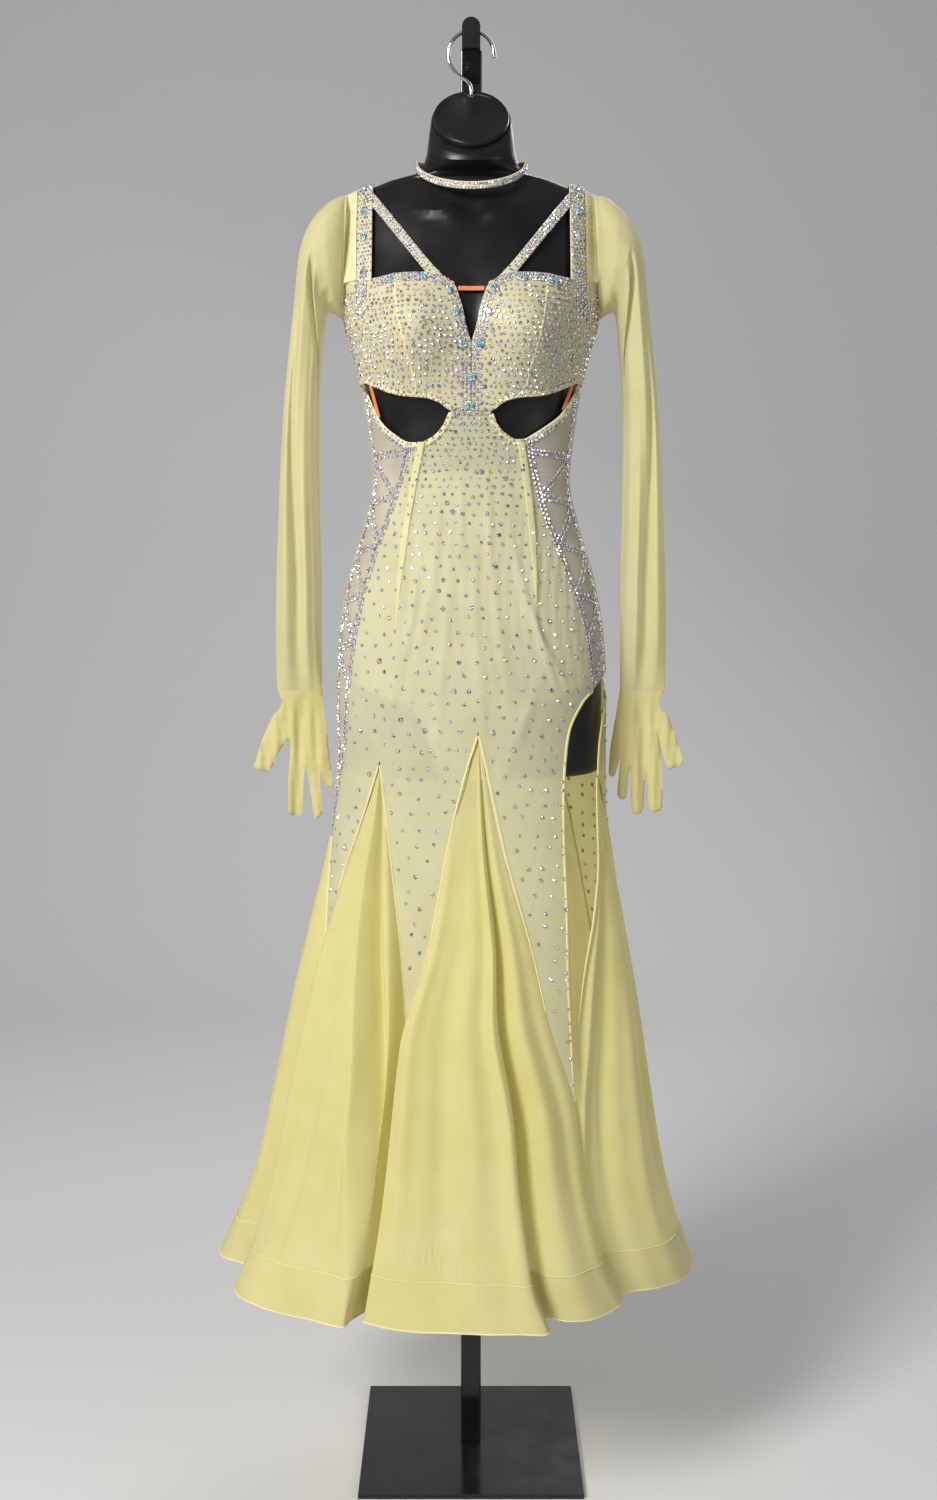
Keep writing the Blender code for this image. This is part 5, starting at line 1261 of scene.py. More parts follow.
STRAP_LINES = []        # four lines across a strap, each as a table for x, y and z
for x in (STRAP_INNER, lerp(STRAP_INNER, STRAP_OUTER, 1 / 3), lerp(STRAP_INNER, STRAP_OUTER, 2 / 3),
          STRAP_OUTER):
    route = strap_route(x)
    STRAP_LINES.append([tuple((i, point[axis]) for i, point in enumerate(route)) for axis in range(3)])
STRAP_ENDS = len(STRAP_FRONT_LEVELS) + len(SHOULDER_ARC) + len(STRAP_BACK_LEVELS) - 1


def strap_place(side, across, along):
    """Point on a strap's underside, from its inner edge at 0 to its outer edge at 1."""
    at = max(0.0, min(2.9999, across * 3))
    low, share = int(at), at - int(at)
    a = Vector([smooth(rows, along) for rows in STRAP_LINES[low]])
    b = Vector([smooth(rows, along) for rows in STRAP_LINES[low + 1]])
    point = a.lerp(b, share)
    return Vector((side * point.x, point.y, point.z))


def strap_frame(side, across, along):
    """Point and outward direction of a strap, from places a little way off."""
    low, high = max(0.0, across - 0.1), min(1.0, across + 0.1)
    over = strap_place(side, high, along) - strap_place(side, low, along)
    ahead = strap_place(side, across, along + 0.05) - strap_place(side, across, along - 0.05)
    return strap_place(side, across, along), over.cross(ahead).normalized() * side


Ridge = namedtuple("Ridge", "across height")
STRAP_PROFILE = (Ridge(0.0, 0.0002), Ridge(0.0, 0.0014), Ridge(0.04, 0.0019), Ridge(0.10, 0.0017),
                 Ridge(0.5, 0.0018), Ridge(0.90, 0.0017), Ridge(0.96, 0.0019), Ridge(1.0, 0.0014),
                 Ridge(1.0, 0.0002))
STRAP_RINGS, STRAP_TIP = 120, 0.06      # the cloth's direction is taken this far in from its ends
shoulder_straps = []
for side, word in SIDES:
    points = []
    for i in range(STRAP_RINGS + 1):
        along = STRAP_ENDS * i / STRAP_RINGS
        inside = min(STRAP_ENDS - STRAP_TIP, max(STRAP_TIP, along))
        for across, height in STRAP_PROFILE:
            outward = strap_frame(side, across, inside)[1]
            points.append(strap_place(side, across, along) + outward * height)
    faces = rings_to_faces(STRAP_RINGS + 1, len(STRAP_PROFILE), closed=False)
    strap = add_piece(f"{word}_strap_net", points, faces, strap_net, [f"{word}_shoulder_strap"])
    shoulder_straps.append(strap)

gathered_seam = cloth_finish("gathered_seam", (0.72, 0.69, 0.41), (0.65, 0.61, 0.35), rough=0.62, glow=0.14)
SEAM_LIFT = 0.0022          # the gathered edge above the strap's underside
SEAM_OVERHANG = 0.0042      # how far its outer edge stands out beyond the strap
SEAM_FOOT_Z = 1.372         # height of its lower end, at the armpit
PUCKERS = 68                # half waves along its length


def seam_place(side, u, v):
    """Point of the sleeve's gathered edge, laid along the strap and puckered across its length."""
    along = lerp(0.10, STRAP_ENDS - 0.10, v)
    point, outward = strap_frame(side, lerp(SEAM_START, 1.0, u), along)
    pucker = 0.5 + 0.5 * math.sin(PUCKERS * v * math.pi + 2.0 * u)
    beyond = max(0.0, u - 0.75) / 0.25
    return (point + outward * (SEAM_LIFT + math.sin(math.pi * u) * (0.0004 + 0.0005 * pucker))
            + Vector((side * SEAM_OVERHANG * beyond, 0, -0.0010 * beyond)))


def seam_foot_place(side, u, v):
    """The same gathered edge where it runs on from the strap's foot down the cup to the armpit."""
    start, outward = strap_frame(side, lerp(SEAM_START, 1.0, u), 0.12)
    beyond = Vector((side * SEAM_OVERHANG * max(0.0, u - 0.75) / 0.25, 0, 0))
    start += outward * (SEAM_LIFT + 0.0006 * math.sin(math.pi * u)) + beyond
    z = lerp(start.z, SEAM_FOOT_Z, v)
    armhole = smooth(ARMHOLE, z)
    outer = body_point(side * (armhole + 0.8), z, 0.0034)
    inner = body_point(side * (armhole - 4.5), z, 0.0032)
    low = inner.lerp(outer, u)
    low += surface_frame(body_point, side * armhole, z)[1] * 0.0006 * math.sin(math.pi * u)
    share = min(1.0, v / 0.35)
    return start.lerp(low, share * share * (3 - 2 * share)) if share < 1 else low


for (side, word), strap in zip(SIDES, shoulder_straps):
    for part, place, rows in (("seam", seam_place, 300), ("seam_foot", seam_foot_place, 60)):
        points, faces = cloth_grid(8, rows, lambda u, v, side=side, place=place: place(
            side, u if side > 0 else 1 - u, v))
        add_piece(f"{word}_gathered_{part}", points, faces, gathered_seam)

NECK_STRAP_START, NECK_STRAP_END = Vector((0.0448, 1.4300)), Vector((0.1052, 1.5095))
NECK_STRAP_HALF = 0.0053
NECK_STRAP_WAY = (NECK_STRAP_END - NECK_STRAP_START).normalized()
NECK_STRAP_ACROSS = Vector((NECK_STRAP_WAY.y, -NECK_STRAP_WAY.x))
NECK_STRAP_FLARE = 0.16     # share of the strap over which its inner edge curves into the neckline
FLARE_START_X, FLARE_LENGTH = 0.0300, 0.016


def neck_strap_spot(across, along):
    """Distance from the centre and height of a place on a neck strap; across runs from -1 to 1."""
    edges = []
    for edge in (-1, 1):
        start = NECK_STRAP_START + NECK_STRAP_ACROSS * NECK_STRAP_HALF * edge
        length = (STRAP_INNER - 0.0006 - start.x) / NECK_STRAP_WAY.x
        edges.append([start, start + NECK_STRAP_WAY * length])
    (inner_start, inner_end), (outer_start, outer_end) = edges
    inner = inner_start.lerp(inner_end, along)
    outer = outer_start.lerp(outer_end, along)
    if along < NECK_STRAP_FLARE:
        share = along / NECK_STRAP_FLARE
        start = Vector((FLARE_START_X, height_on(NECKLINE, FLARE_START_X) - 0.0006))
        end = inner_start.lerp(inner_end, NECK_STRAP_FLARE)
        bend = end - NECK_STRAP_WAY * FLARE_LENGTH
        inner = start * (1 - share)**2 + bend * 2 * share * (1 - share) + end * share**2
    if along == 0:
        outer.y = height_on(NECKLINE, outer.x) - 0.0010
    return inner.lerp(outer, (across + 1) / 2)


def neck_strap_frame(side, across, along):
    x, z = neck_strap_spot(across, along)
    return surface_frame(body_point, side * angle_at(x, z), z)


NECK_STRAP_PROFILE = (Ridge(-1.0, 0.0002), Ridge(-1.0, 0.0014), Ridge(-0.86, 0.0019), Ridge(0.0, 0.0017),
                      Ridge(0.86, 0.0019), Ridge(1.0, 0.0014), Ridge(1.0, 0.0002))
NECK_STRAP_RINGS = 48
for side, word in SIDES:
    points = []
    for i in range(NECK_STRAP_RINGS + 1):
        for across, height in NECK_STRAP_PROFILE:
            point, outward = neck_strap_frame(side, across, i / NECK_STRAP_RINGS)
            points.append(point + outward * height)
    faces = rings_to_faces(NECK_STRAP_RINGS + 1, len(NECK_STRAP_PROFILE), closed=False)
    strap = add_piece(f"{word}_neck_strap_net", points, faces, strap_net, [f"{word}_neck_strap"])

# ---------------------------------------------------------------- neck band
# A separate narrow choker of the same net over a round cord core, closed behind with a hook and
# bar, and set with stones all round. It lies on the root of the neck, lower in front.
CHOKER_TILT, CHOKER_BACK_TILT = math.radians(32), math.radians(8)
CHOKER_HALF_WIDTH, CHOKER_FRONT, CHOKER_BACK = 0.0605, 0.0610, 0.0520
CHOKER_CENTRE = Vector((0, -0.064, 1.5553))


def choker_point(turn, out, rise):
    depth = CHOKER_FRONT if math.cos(turn) > 0 else CHOKER_BACK
    tilt = CHOKER_TILT if math.cos(turn) > 0 else CHOKER_BACK_TILT
    forward = -(depth + out) * math.cos(turn)
    return CHOKER_CENTRE + Vector(((CHOKER_HALF_WIDTH + out) * math.sin(turn), forward * math.cos(tilt),
                                   forward * math.sin(tilt) + rise))


choker_profile = [(0.0, 0.0006), (0.0, 0.0074), (0.0005, 0.0080), (0.0015, 0.0080), (0.0020, 0.0072),
                  (0.0022, 0.0040), (0.0020, 0.0008), (0.0015, 0.0), (0.0005, 0.0)]
choker_rings = 160
points = [choker_point(2 * math.pi * i / choker_rings, out, rise)
          for i in range(choker_rings) for out, rise in choker_profile]
count = len(choker_profile)
faces = rings_to_faces(choker_rings, count)
faces += [((choker_rings - 1) * count + i, (choker_rings - 1) * count + (i + 1) % count, (i + 1) % count, i)
          for i in range(count)]
choker = add_piece("neck_band", points, faces, strap_net, ["choker"])

# ---------------------------------------------------------------- elastics
# Flat salmon elastic, sewn across the notch between the cups and across the outer corner of each
# cutout, to hold the edges in. Its ends are tacked under the bindings.
elastic_braid = bpy.data.materials.new("salmon_elastic")
nodes, links, shader = shader_of(elastic_braid)
elastic_tint = ramp_between(nodes, links, fine_noise(nodes, links, 600.0),
                            (0.52, 0.145, 0.065), (0.68, 0.22, 0.10))
links.new(elastic_tint.outputs["Color"], shader.inputs["Base Color"])
shader.inputs["Roughness"].default_value = 0.65
bumped(nodes, links, shader, fine_noise(nodes, links, 1500.0).outputs["Fac"], 0.5, 0.0003)

ELASTIC_UPPER_X, ELASTIC_LOWER_X, ELASTIC_GAP = 0.1135, 0.1040, 0.0008
notch_level, notch_half = 1.4100, 0.0025
reach = smooth(NOTCH, notch_level - notch_half) - 0.0004
frames = [surface_frame(body_point, math.copysign(angle_at(abs(x), notch_level), x), notch_level)
          for x in steps_between(-reach, reach, 12)]
notch_elastic = ribbon("notch_elastic_braid", frames, 2 * notch_half, 0.0012, elastic_braid)
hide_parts("notch_elastic")
for side, word in SIDES:
    upper = Vector((ELASTIC_UPPER_X, height_on(CUP_BOTTOM, ELASTIC_UPPER_X) - ELASTIC_GAP))
    lower = Vector((ELASTIC_LOWER_X, midriff_top(side * ELASTIC_LOWER_X) + ELASTIC_GAP))
    frames = []
    for share in steps_between(0, 1, 16):
        x, z = upper.lerp(lower, share)
        frames.append(surface_frame(body_point, side * angle_at(x, z), z))
    elastic = ribbon(f"{word}_elastic_braid", frames, 0.0050, 0.0011, elastic_braid)
    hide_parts(f"{word}_elastic")

# ---------------------------------------------------------------- hands of the sleeves
# Each sleeve ends in a sewn hand of two chiffon layers, with a thumb and four closed fingers. It
# hangs empty and flat, a little puffed, with a stitched edge.
HAND_LEFT = ((0.2270, 0.9620), (0.2222, 0.9500), (0.2262, 0.9390), (0.2330, 0.9340), (0.2450, 0.9080),
             (0.2570, 0.8720), (0.2550, 0.8680), (0.2400, 0.8655), (0.2370, 0.8680), (0.2290, 0.8860),
             (0.2195, 0.9010), (0.2130, 0.9050), (0.2145, 0.8800), (0.2165, 0.8560), (0.2163, 0.8160),
             (0.2140, 0.8130), (0.2020, 0.8130), (0.1995, 0.8160), (0.1985, 0.8500), (0.1960, 0.8720),
             (0.1925, 0.8600), (0.1890, 0.8300), (0.1862, 0.8090), (0.1830, 0.8085), (0.1762, 0.8150),
             (0.1756, 0.8210), (0.1785, 0.8500), (0.1776, 0.8720), (0.1750, 0.8600), (0.1718, 0.8480),
             (0.1640, 0.8465), (0.1632, 0.8520), (0.1668, 0.8780), (0.1690, 0.9040), (0.1735, 0.9400),
             (0.1752, 0.9620))
HAND_RIGHT = ((0.2275, 0.9620), (0.2210, 0.9510), (0.2230, 0.9400), (0.2310, 0.9350), (0.2420, 0.9080),
              (0.2510, 0.8770), (0.2490, 0.8740), (0.2350, 0.8680), (0.2310, 0.8700), (0.2250, 0.8920),
              (0.2200, 0.9130), (0.2230, 0.9000), (0.2262, 0.8600), (0.2270, 0.8220), (0.2240, 0.8180),
              (0.2130, 0.8170), (0.2110, 0.8210), (0.2095, 0.8500), (0.2070, 0.8700), (0.2060, 0.8500),
              (0.2045, 0.8220), (0.2010, 0.8150), (0.1920, 0.8150), (0.1905, 0.8200), (0.1895, 0.8500),
              (0.1885, 0.8740), (0.1862, 0.8600), (0.1842, 0.8350), (0.1810, 0.8320), (0.1745, 0.8340),
              (0.1732, 0.8380), (0.1745, 0.8600), (0.1765, 0.8850), (0.1735, 0.8740), (0.1700, 0.8600),
              (0.1675, 0.8590), (0.1632, 0.8610), (0.1628, 0.8660), (0.1650, 0.8980), (0.1700, 0.9300),
              (0.1752, 0.9620))
HAND_HALF_THICK, HAND_FLAT_EDGE = 0.0031, 0.0008
HAND_SWELL = 0.0060         # distance from the edge over which a hand swells to its full thickness
WRIST_Z = 0.9620            # height of the seam between sleeve and hand
WRIST_EASE_Z, WRIST_EASE = 0.925, 0.034     # from here up it takes on the sleeve's own section
hand_chiffon = cloth_finish("hand_chiffon", (0.77, 0.72, 0.37), (0.72, 0.66, 0.31), rough=0.62,
                            see_through=0.12, glow=0.36, **FINE_WEAVE)


def rounded_outline(corners, step):
    """Outline with its corners eased, as points about a step apart."""
    fine = []
    count = len(corners)
    for i in range(count):
        a, b = Vector(corners[i]), Vector(corners[(i + 1) % count])
        parts = max(1, round((b - a).length / step))
        fine += [a.lerp(b, k / parts) for k in range(parts)]
    for _ in range(2):
        eased = []
        for i, point in enumerate(fine):
            before, after = fine[i - 1], fine[(i + 1) % len(fine)]
            held = point.y > WRIST_Z - 0.0005
            eased.append(point if held else point * 0.5 + (before + after) * 0.25)
        fine = eased
    return fine


def edge_distance(spot, outline):
    best = 1.0
    for a, b in zip(outline, outline[1:] + outline[:1]):
        along = b - a
        share = clamped((spot - a).dot(along) / max(along.dot(along), 1e-12))
        best = min(best, (spot - a - along * share).length)
    return best


def hand_depth(spot, outline):
    """Half the thickness of a sewn hand; towards the wrist it swells to the sleeve's own section."""
    swell = min(1.0, edge_distance(spot, outline) / HAND_SWELL)
    pucker = 0.10 * math.sin(spot.x * 900 + spot.y * 130) + 0.08 * math.sin(spot.y * 420)
    depth = HAND_FLAT_EDGE + (HAND_HALF_THICK - HAND_FLAT_EDGE) * math.sqrt(swell) * (0.82 + pucker)
    wrist = clamped((spot.y - WRIST_EASE_Z) / WRIST_EASE)
    centre = (SLEEVE[-1].outer_x + SLEEVE[-1].inner_x) / 2
    reach = min(1.0, abs(spot.x - centre) / ((SLEEVE[-1].outer_x - SLEEVE[-1].inner_x) / 2))
    return lerp(depth, max(HAND_FLAT_EDGE, SLEEVE[-1].depth * (1 - reach**2)**0.5), wrist**2)


HAND_EASE, HAND_FOLD = 0.030, 0.0030    # the folds are whole this far below the wrist; main depth


def hand_wave(spot):
    """The empty hand buckles in soft upright folds that run on from the sleeve's."""
    ease = clamped((WRIST_Z - spot.y) / HAND_EASE)
    main = HAND_FOLD * math.exp(-((spot.x - 0.2000 - 0.05 * (0.96 - spot.y)) / 0.0055)**2)
    return ease * (main - 0.0011 * math.sin(330 * spot.x + 22 * spot.y)
                   - 0.0007 * math.sin(610 * spot.x - 35 * spot.y))


HAND_STEP, HAND_EDGE_STEP, HAND_EDGE_CLEAR = 0.0030, 0.0022, 0.0013     # spacing of a hand's points


def spots_inside(outline):
    """Staggered points inside an outline, clear of its edge."""
    left, right = min(p.x for p in outline), max(p.x for p in outline)
    top = max(p.y for p in outline)
    spots = []
    row, z = 0, min(p.y for p in outline) + HAND_STEP / 2
    while z < top:
        x = left + (row % 2) * HAND_STEP / 2
        while x < right:
            spots.append(Vector((x, z)))
            x += HAND_STEP
        z += HAND_STEP * 0.87
        row += 1
    return [spot for spot in spots if edge_distance(spot, outline) > HAND_EDGE_CLEAR]


def make_hand(side, word, corners):
    outline = rounded_outline(corners, HAND_EDGE_STEP)
    count = len(outline)
    loop = [(i, (i + 1) % count) for i in range(count)]
    mesh = delaunay_2d_cdt(outline + spots_inside(outline), loop, [list(range(count))], 1, 1e-7)
    spots, triangles = mesh[0], mesh[2]
    total = len(spots)
    points = [Vector((side * spot.x, MID_Y + hand_wave(spot) + layer * hand_depth(spot, outline), spot.y))
              for layer in (-1, 1) for spot in spots]
    faces = [tuple(triangle) for triangle in triangles]
    faces += [tuple(reversed([index + total for index in triangle])) for triangle in triangles]
    ends = {}       # a dictionary, as it keeps the order in which the edges come
    for a, b, c in triangles:
        for start, end in ((a, b), (b, c), (c, a)):
            ends[(start, end)] = True
    faces += [(a, b, b + total, a + total) for a, b in ends if (b, a) not in ends]
    hand = add_piece(f"{word}_hand_chiffon", points, faces, hand_chiffon, [f"{word}_hand"])
    shape = bmesh.new()
    shape.from_mesh(hand.data)
    bmesh.ops.recalc_face_normals(shape, faces=shape.faces)
    shape.to_mesh(hand.data)
    shape.free()
    hand.data.set_sharp_from_angle(angle=math.radians(70))
    cut = sum(area_tri(*(spots[corner].to_3d() for corner in triangle)) for triangle in triangles)


make_hand(-1, "left", HAND_LEFT)
make_hand(1, "right", HAND_RIGHT)

# ---------------------------------------------------------------- cut stones
# Flat-backed cut glass stones with a rainbow coat, glued on one by one: close together on the
# straps, neckline and bands, scattered over the bodice and wider apart down the skirt's tails.
StoneTint = namedtuple("StoneTint", "name dark middle light")
STONE_TINTS = (
    StoneTint("clear_rainbow_glass", (0.22, 0.26, 0.34), (0.90, 0.82, 0.94), (0.95, 1.0, 0.88)),
    StoneTint("golden_rainbow_glass", (0.30, 0.17, 0.05), (0.80, 0.58, 0.24), (0.96, 0.90, 0.66)),
    StoneTint("smoky_rainbow_glass", (0.05, 0.06, 0.08), (0.30, 0.32, 0.36), (0.72, 0.78, 0.80)),
    StoneTint("violet_rainbow_glass", (0.26, 0.13, 0.42), (0.60, 0.42, 0.76), (0.93, 0.86, 1.0)),
    StoneTint("turquoise_rainbow_glass", (0.01, 0.14, 0.24), (0.10, 0.56, 0.66), (0.70, 0.95, 0.95)),
)
# The smoky tint also paints the sides of small stones dark, as a painted reflection.
CLEAR, SMOKY_PAINTED_DARK, TURQUOISE = 0, 2, 4       # places in this table


def stone_finish(tint):
    glass = bpy.data.materials.new(tint.name)
    nodes, links, shader = shader_of(glass)
    play = ramp_between(nodes, links, fine_noise(nodes, links, 650.0, 1.0), tint.dark, tint.light, 0.38, 0.60)
    middle = play.color_ramp.elements.new(0.48)
    middle.color = (*tint.middle, 1)
    links.new(play.outputs["Color"], shader.inputs["Base Color"])
    set_inputs(shader, {"Metallic": 0.60, "Roughness": 0.12, "Coat Weight": 0.6, "Coat Roughness": 0.03})
    return glass


stone_glass = [stone_finish(tint) for tint in STONE_TINTS]
stone_chance = random.Random(41)


STONE_HEIGHT = 0.62         # in radii
MANY_SIDED, CLEAR_SIDED = 0.0030, 0.0040    # radii above which a stone has 8 sides or clear sides


class StoneCard:
    """Stones of one setting job: their corners, facets and tints, made into one piece."""

    def __init__(self):
        self.points, self.faces, self.tints = [], [], []

    def add(self, point, outward, radius, tint):
        """Set one faceted stone on the cloth at a point."""
        sides = 8 if radius > MANY_SIDED else 6
        height = radius * STONE_HEIGHT
        across = outward.orthogonal().normalized()
        along = outward.cross(across)
        start, spin = len(self.points), stone_chance.random() * math.pi
        for share, rise in ((1.0, 0.0), (1.0, 0.22), (0.52, 1.0)):
            for i in range(sides):
                turn = spin + 2 * math.pi * i / sides + (math.pi / sides if rise == 1.0 else 0.0)
                self.points.append(point + (across * math.cos(turn) + along * math.sin(turn)) * radius * share
                                   + outward * height * rise)
        low, middle, top = start, start + sides, start + 2 * sides
        for i in range(sides):
            j = (i + 1) % sides
            self.faces += [(low + i, low + j, middle + j, middle + i), (middle + i, middle + j, top + i),
                           (top + i, middle + j, top + j)]
            # Painted reflection: small stones get smoky sides, so their girdle and some lower crown facets
            # are painted dark as if mirroring dark surroundings; big stones get clear sides.
            side = CLEAR if radius > CLEAR_SIDED else SMOKY_PAINTED_DARK
            self.tints += [side, stone_chance.choice((tint, side)), stone_chance.choice((tint, tint, CLEAR))]
        self.faces.append(tuple(range(top, top + sides)))
        self.tints.append(tint)

    def make(self, name):
        piece = add_piece(name, self.points, self.faces, stone_glass[0], flat=True)
        for glass in stone_glass[1:]:
            piece.data.materials.append(glass)
        piece.data.polygons.foreach_set("material_index", self.tints)
        return piece


def pick_tint(weights):
    return stone_chance.choices(range(len(weights)), weights)[0]


STAGGER = 0.87              # distance between rows, in pitches
JITTER = 0.20               # how far a scattered stone may lie off its place, in pitches
BIG_CHANCE, BIG_SIZE = 0.10, 1.35


def scatter_stones(card, place, left, right, low_z, high_z, pitch, inside, size, weights):
    """Staggered rows on a panel between two sides; pitch, size and weights vary by place."""
    z, row = low_z, 0
    while z < high_z:
        gap = pitch(z)
        degrees = left(z)
        rate = (place(degrees + 1.0, z) - place(degrees, z)).length
        degrees += gap / rate * (0.4 if row % 2 else 0.9)
        while degrees < right(z):
            rate = max(0.0004, (place(degrees + 1.0, z) - place(degrees, z)).length)
            spot_degrees = degrees + stone_chance.uniform(-JITTER, JITTER) * gap / rate
            spot_z = z + stone_chance.uniform(-JITTER, JITTER) * gap
            if left(z) < spot_degrees < right(z) and inside(spot_degrees, spot_z):
                point, outward = surface_frame(place, spot_degrees, spot_z)
                radius = size(z) * stone_chance.uniform(0.78, 1.18)
                if stone_chance.random() < BIG_CHANCE:
                    radius *= BIG_SIZE
                card.add(point + outward * 0.0002, outward, radius, pick_tint(weights(point)))
            degrees += gap / rate
        z += gap * STAGGER
        row += 1


def even_frames(frames, lift):
    """The same route, lifted off the cloth, with frames a millimetre apart."""
    even = []
    for (a, na), (b, nb) in zip(frames, frames[1:]):
        parts = max(1, round((b - a).length / 0.001))
        even += [(a.lerp(b, i / parts), na.lerp(nb, i / parts).normalized()) for i in range(parts)]
    even.append(frames[-1])
    return [(point + outward * lift, outward) for point, outward in even]


# A band's rows, the distances between them and along them, a stone's radius, the share of each
# tint, and how high it lies over the cloth.
Setting = namedtuple("Setting", "rows width pitch radius weights lift", defaults=(0.0,))
BAND_SHIFT, BAND_NUDGE = 0.25, 0.12     # in pitches: neighbouring rows are set out of step
STONE_GLUE = 0.0003


def band_of_stones(card, route, setting):
    """Rows of close-set stones along a route of (point, outward) frames."""
    rows, width, pitch = setting.rows, setting.width, setting.pitch
    frames, travelled = even_frames(route, setting.lift), 0.0
    for index, ((point, outward), (after, _)) in enumerate(zip(frames, frames[1:])):
        along = after - point
        travelled += along.length
        if travelled < pitch:
            continue
        travelled -= pitch
        across = outward.cross(along).normalized()
        shift = BAND_SHIFT if index % 2 else -BAND_SHIFT
        for row in range(rows):
            share = (row - (rows - 1) / 2) * width
            ahead = shift + stone_chance.uniform(-BAND_NUDGE, BAND_NUDGE)
            nudge = along.normalized() * pitch * ahead * (1 if row % 2 else -1)
            place = point + across * (share + stone_chance.uniform(-0.1, 0.1) * width) + nudge
            radius = setting.radius * stone_chance.uniform(0.85, 1.15)
            card.add(place + outward * STONE_GLUE, outward, radius, pick_tint(setting.weights))


CLOSE_SET = (0.50, 0.12, 0.14, 0.22, 0.02)      # shares of the five tints
BAND_SET = (0.42, 0.06, 0.12, 0.40, 0.0)
EDGE_SET = (0.62, 0.20, 0.12, 0.06, 0.0)
NECKLINE_BAND = Setting(3, 0.0041, 0.0041, 0.0020, CLOSE_SET)
ARMHOLE_BAND = Setting(2, 0.0045, 0.0045, 0.0017, EDGE_SET)
SHOULDER_BAND = Setting(5, 0.0044, 0.0042, 0.0019, CLOSE_SET)
UNDER_BAND = Setting(2, 0.0034, 0.0048, 0.0014, (0.28, 0.52, 0.20, 0, 0), 0.0009)
CUTOUT_BAND = Setting(2, 0.0040, 0.0052, 0.0015, (0.30, 0.45, 0.25, 0, 0), 0.0010)
LATTICE_BAND = Setting(2, 0.0048, 0.0045, 0.0020, BAND_SET)
OUTER_BAND = LATTICE_BAND._replace(weights=EDGE_SET)
JOINT_BAND = Setting(2, 0.0042, 0.0044, 0.0019, (0.40, 0.25, 0.30, 0.05, 0), 0.0010)
SLIT_BAND = Setting(1, 0.004, 0.019, 0.0019, (0.3, 0.45, 0.25, 0, 0))
SCOOP_BAND = Setting(2, 0.0036, 0.0044, 0.0016, EDGE_SET, 0.001)


def bodice_weights(point):
    """The inner bodice has more smoky stones, and its sides more golden ones."""
    side = min(1.0, abs(point.x) / 0.10)
    return (0.42, lerp(0.14, 0.42, side), lerp(0.36, 0.16, side), 0.06, 0.02)


def make_cup_stones(side, word):
    card = StoneCard()

    def left(z):
        return notch_side(z, 1) if side > 0 else -armhole_side(z, 1)

    def right(z):
        return armhole_side(z, 1) if side > 0 else -notch_side(z, 1)

    def inside(degrees, z):
        x = body_point(degrees, z).x
        neckline = height_on(NECKLINE, x)
        in_cup = height_on(CUP_BOTTOM, x) + 0.0045 < z < neckline - 0.002
        banded = z > neckline - 0.013 and abs(x) > 0.012 or abs(x) < smooth(NOTCH, z) + 0.013
        return in_cup and not banded

    def upright(turn_at, low_z, high_z, count):
        """Frames up a line whose degrees from the front are a function of height."""
        return [surface_frame(on_body, side * turn_at(z), z) for z in steps_between(low_z, high_z, count)]

    scatter_stones(card, on_body, left, right, 1.281, 1.432, lambda z: 0.0069, inside, lambda z: 0.00205,
                   bodice_weights)
    for route, setting in (
            (edge_frames(NECKLINE, steps_between(0.0190, 0.1120, 50), side, -0.0054), NECKLINE_BAND),
            (upright(lambda z: angle_at(smooth(NOTCH, z) + 0.0068, z), 1.350, 1.4080, 40), NECKLINE_BAND),
            (upright(lambda z: angle_at(0.0064, z), 1.283, 1.350, 40), NECKLINE_BAND),
            (upright(lambda z: smooth(ARMHOLE, z) - 3.0, 1.318, 1.424, 60), ARMHOLE_BAND),
            (upright(lambda z: angle_at(0.1225, z), 1.385, 1.428, 24), SHOULDER_BAND),
            (edge_frames(CUP_BOTTOM, steps_between(0.020, 0.1170, 60), side, 0.0030), UNDER_BAND),
            (edge_frames(midriff_rows(side), steps_between(0.0215, 0.0640, 40), side, -0.0030), CUTOUT_BAND)):
        band_of_stones(card, route, setting)
    card.make(f"{word}_cup_stones")


STRAP_STONE, STRAP_THICK, STRAP_PITCH = 0.00190, 0.0018, 0.0037
NECK_STRAP_STONE, NECK_STRAP_THICK, NECK_STRAP_PITCH = 0.00192, 0.0017, 0.0038


def make_strap_stones(side, word):
    card = StoneCard()
    lane = [strap_frame(side, 0.5, along) for along in steps_between(0.1, STRAP_ENDS - 0.1, 260)]
    travelled, flip = 0.0, 0
    for index in range(len(lane) - 1):
        travelled += (lane[index + 1][0] - lane[index][0]).length
        if travelled < STRAP_PITCH:
            continue
        travelled, flip = 0.0, 1 - flip
        along = lerp(0.1, STRAP_ENDS - 0.1, index / (len(lane) - 1))
        for column in range(5 - flip):
            across = 0.050 + 0.133 * (column + 0.5 * flip) + stone_chance.uniform(-0.018, 0.018)
            point, outward = strap_frame(side, across, along)
            radius = STRAP_STONE * stone_chance.uniform(0.80, 1.15)
            card.add(point + outward * STRAP_THICK, outward, radius, pick_tint(CLOSE_SET))
    for i in range(1, 28):
        along = i / 27.4
        wide = (neck_strap_spot(1, along) - neck_strap_spot(-1, along)).length
        count = round(wide / NECK_STRAP_PITCH)
        for column in range(count):
            across = lerp(-1, 1, (column + 0.5) / count) + stone_chance.uniform(-0.06, 0.06)
            point, outward = neck_strap_frame(side, across, along + 0.012 * (column % 2))
            radius = NECK_STRAP_STONE * stone_chance.uniform(0.85, 1.12)
            card.add(point + outward * NECK_STRAP_THICK, outward, radius, pick_tint(CLOSE_SET))
    card.make(f"{word}_strap_stones")


for side, word in SIDES:
    make_cup_stones(side, word)
    make_strap_stones(side, word)

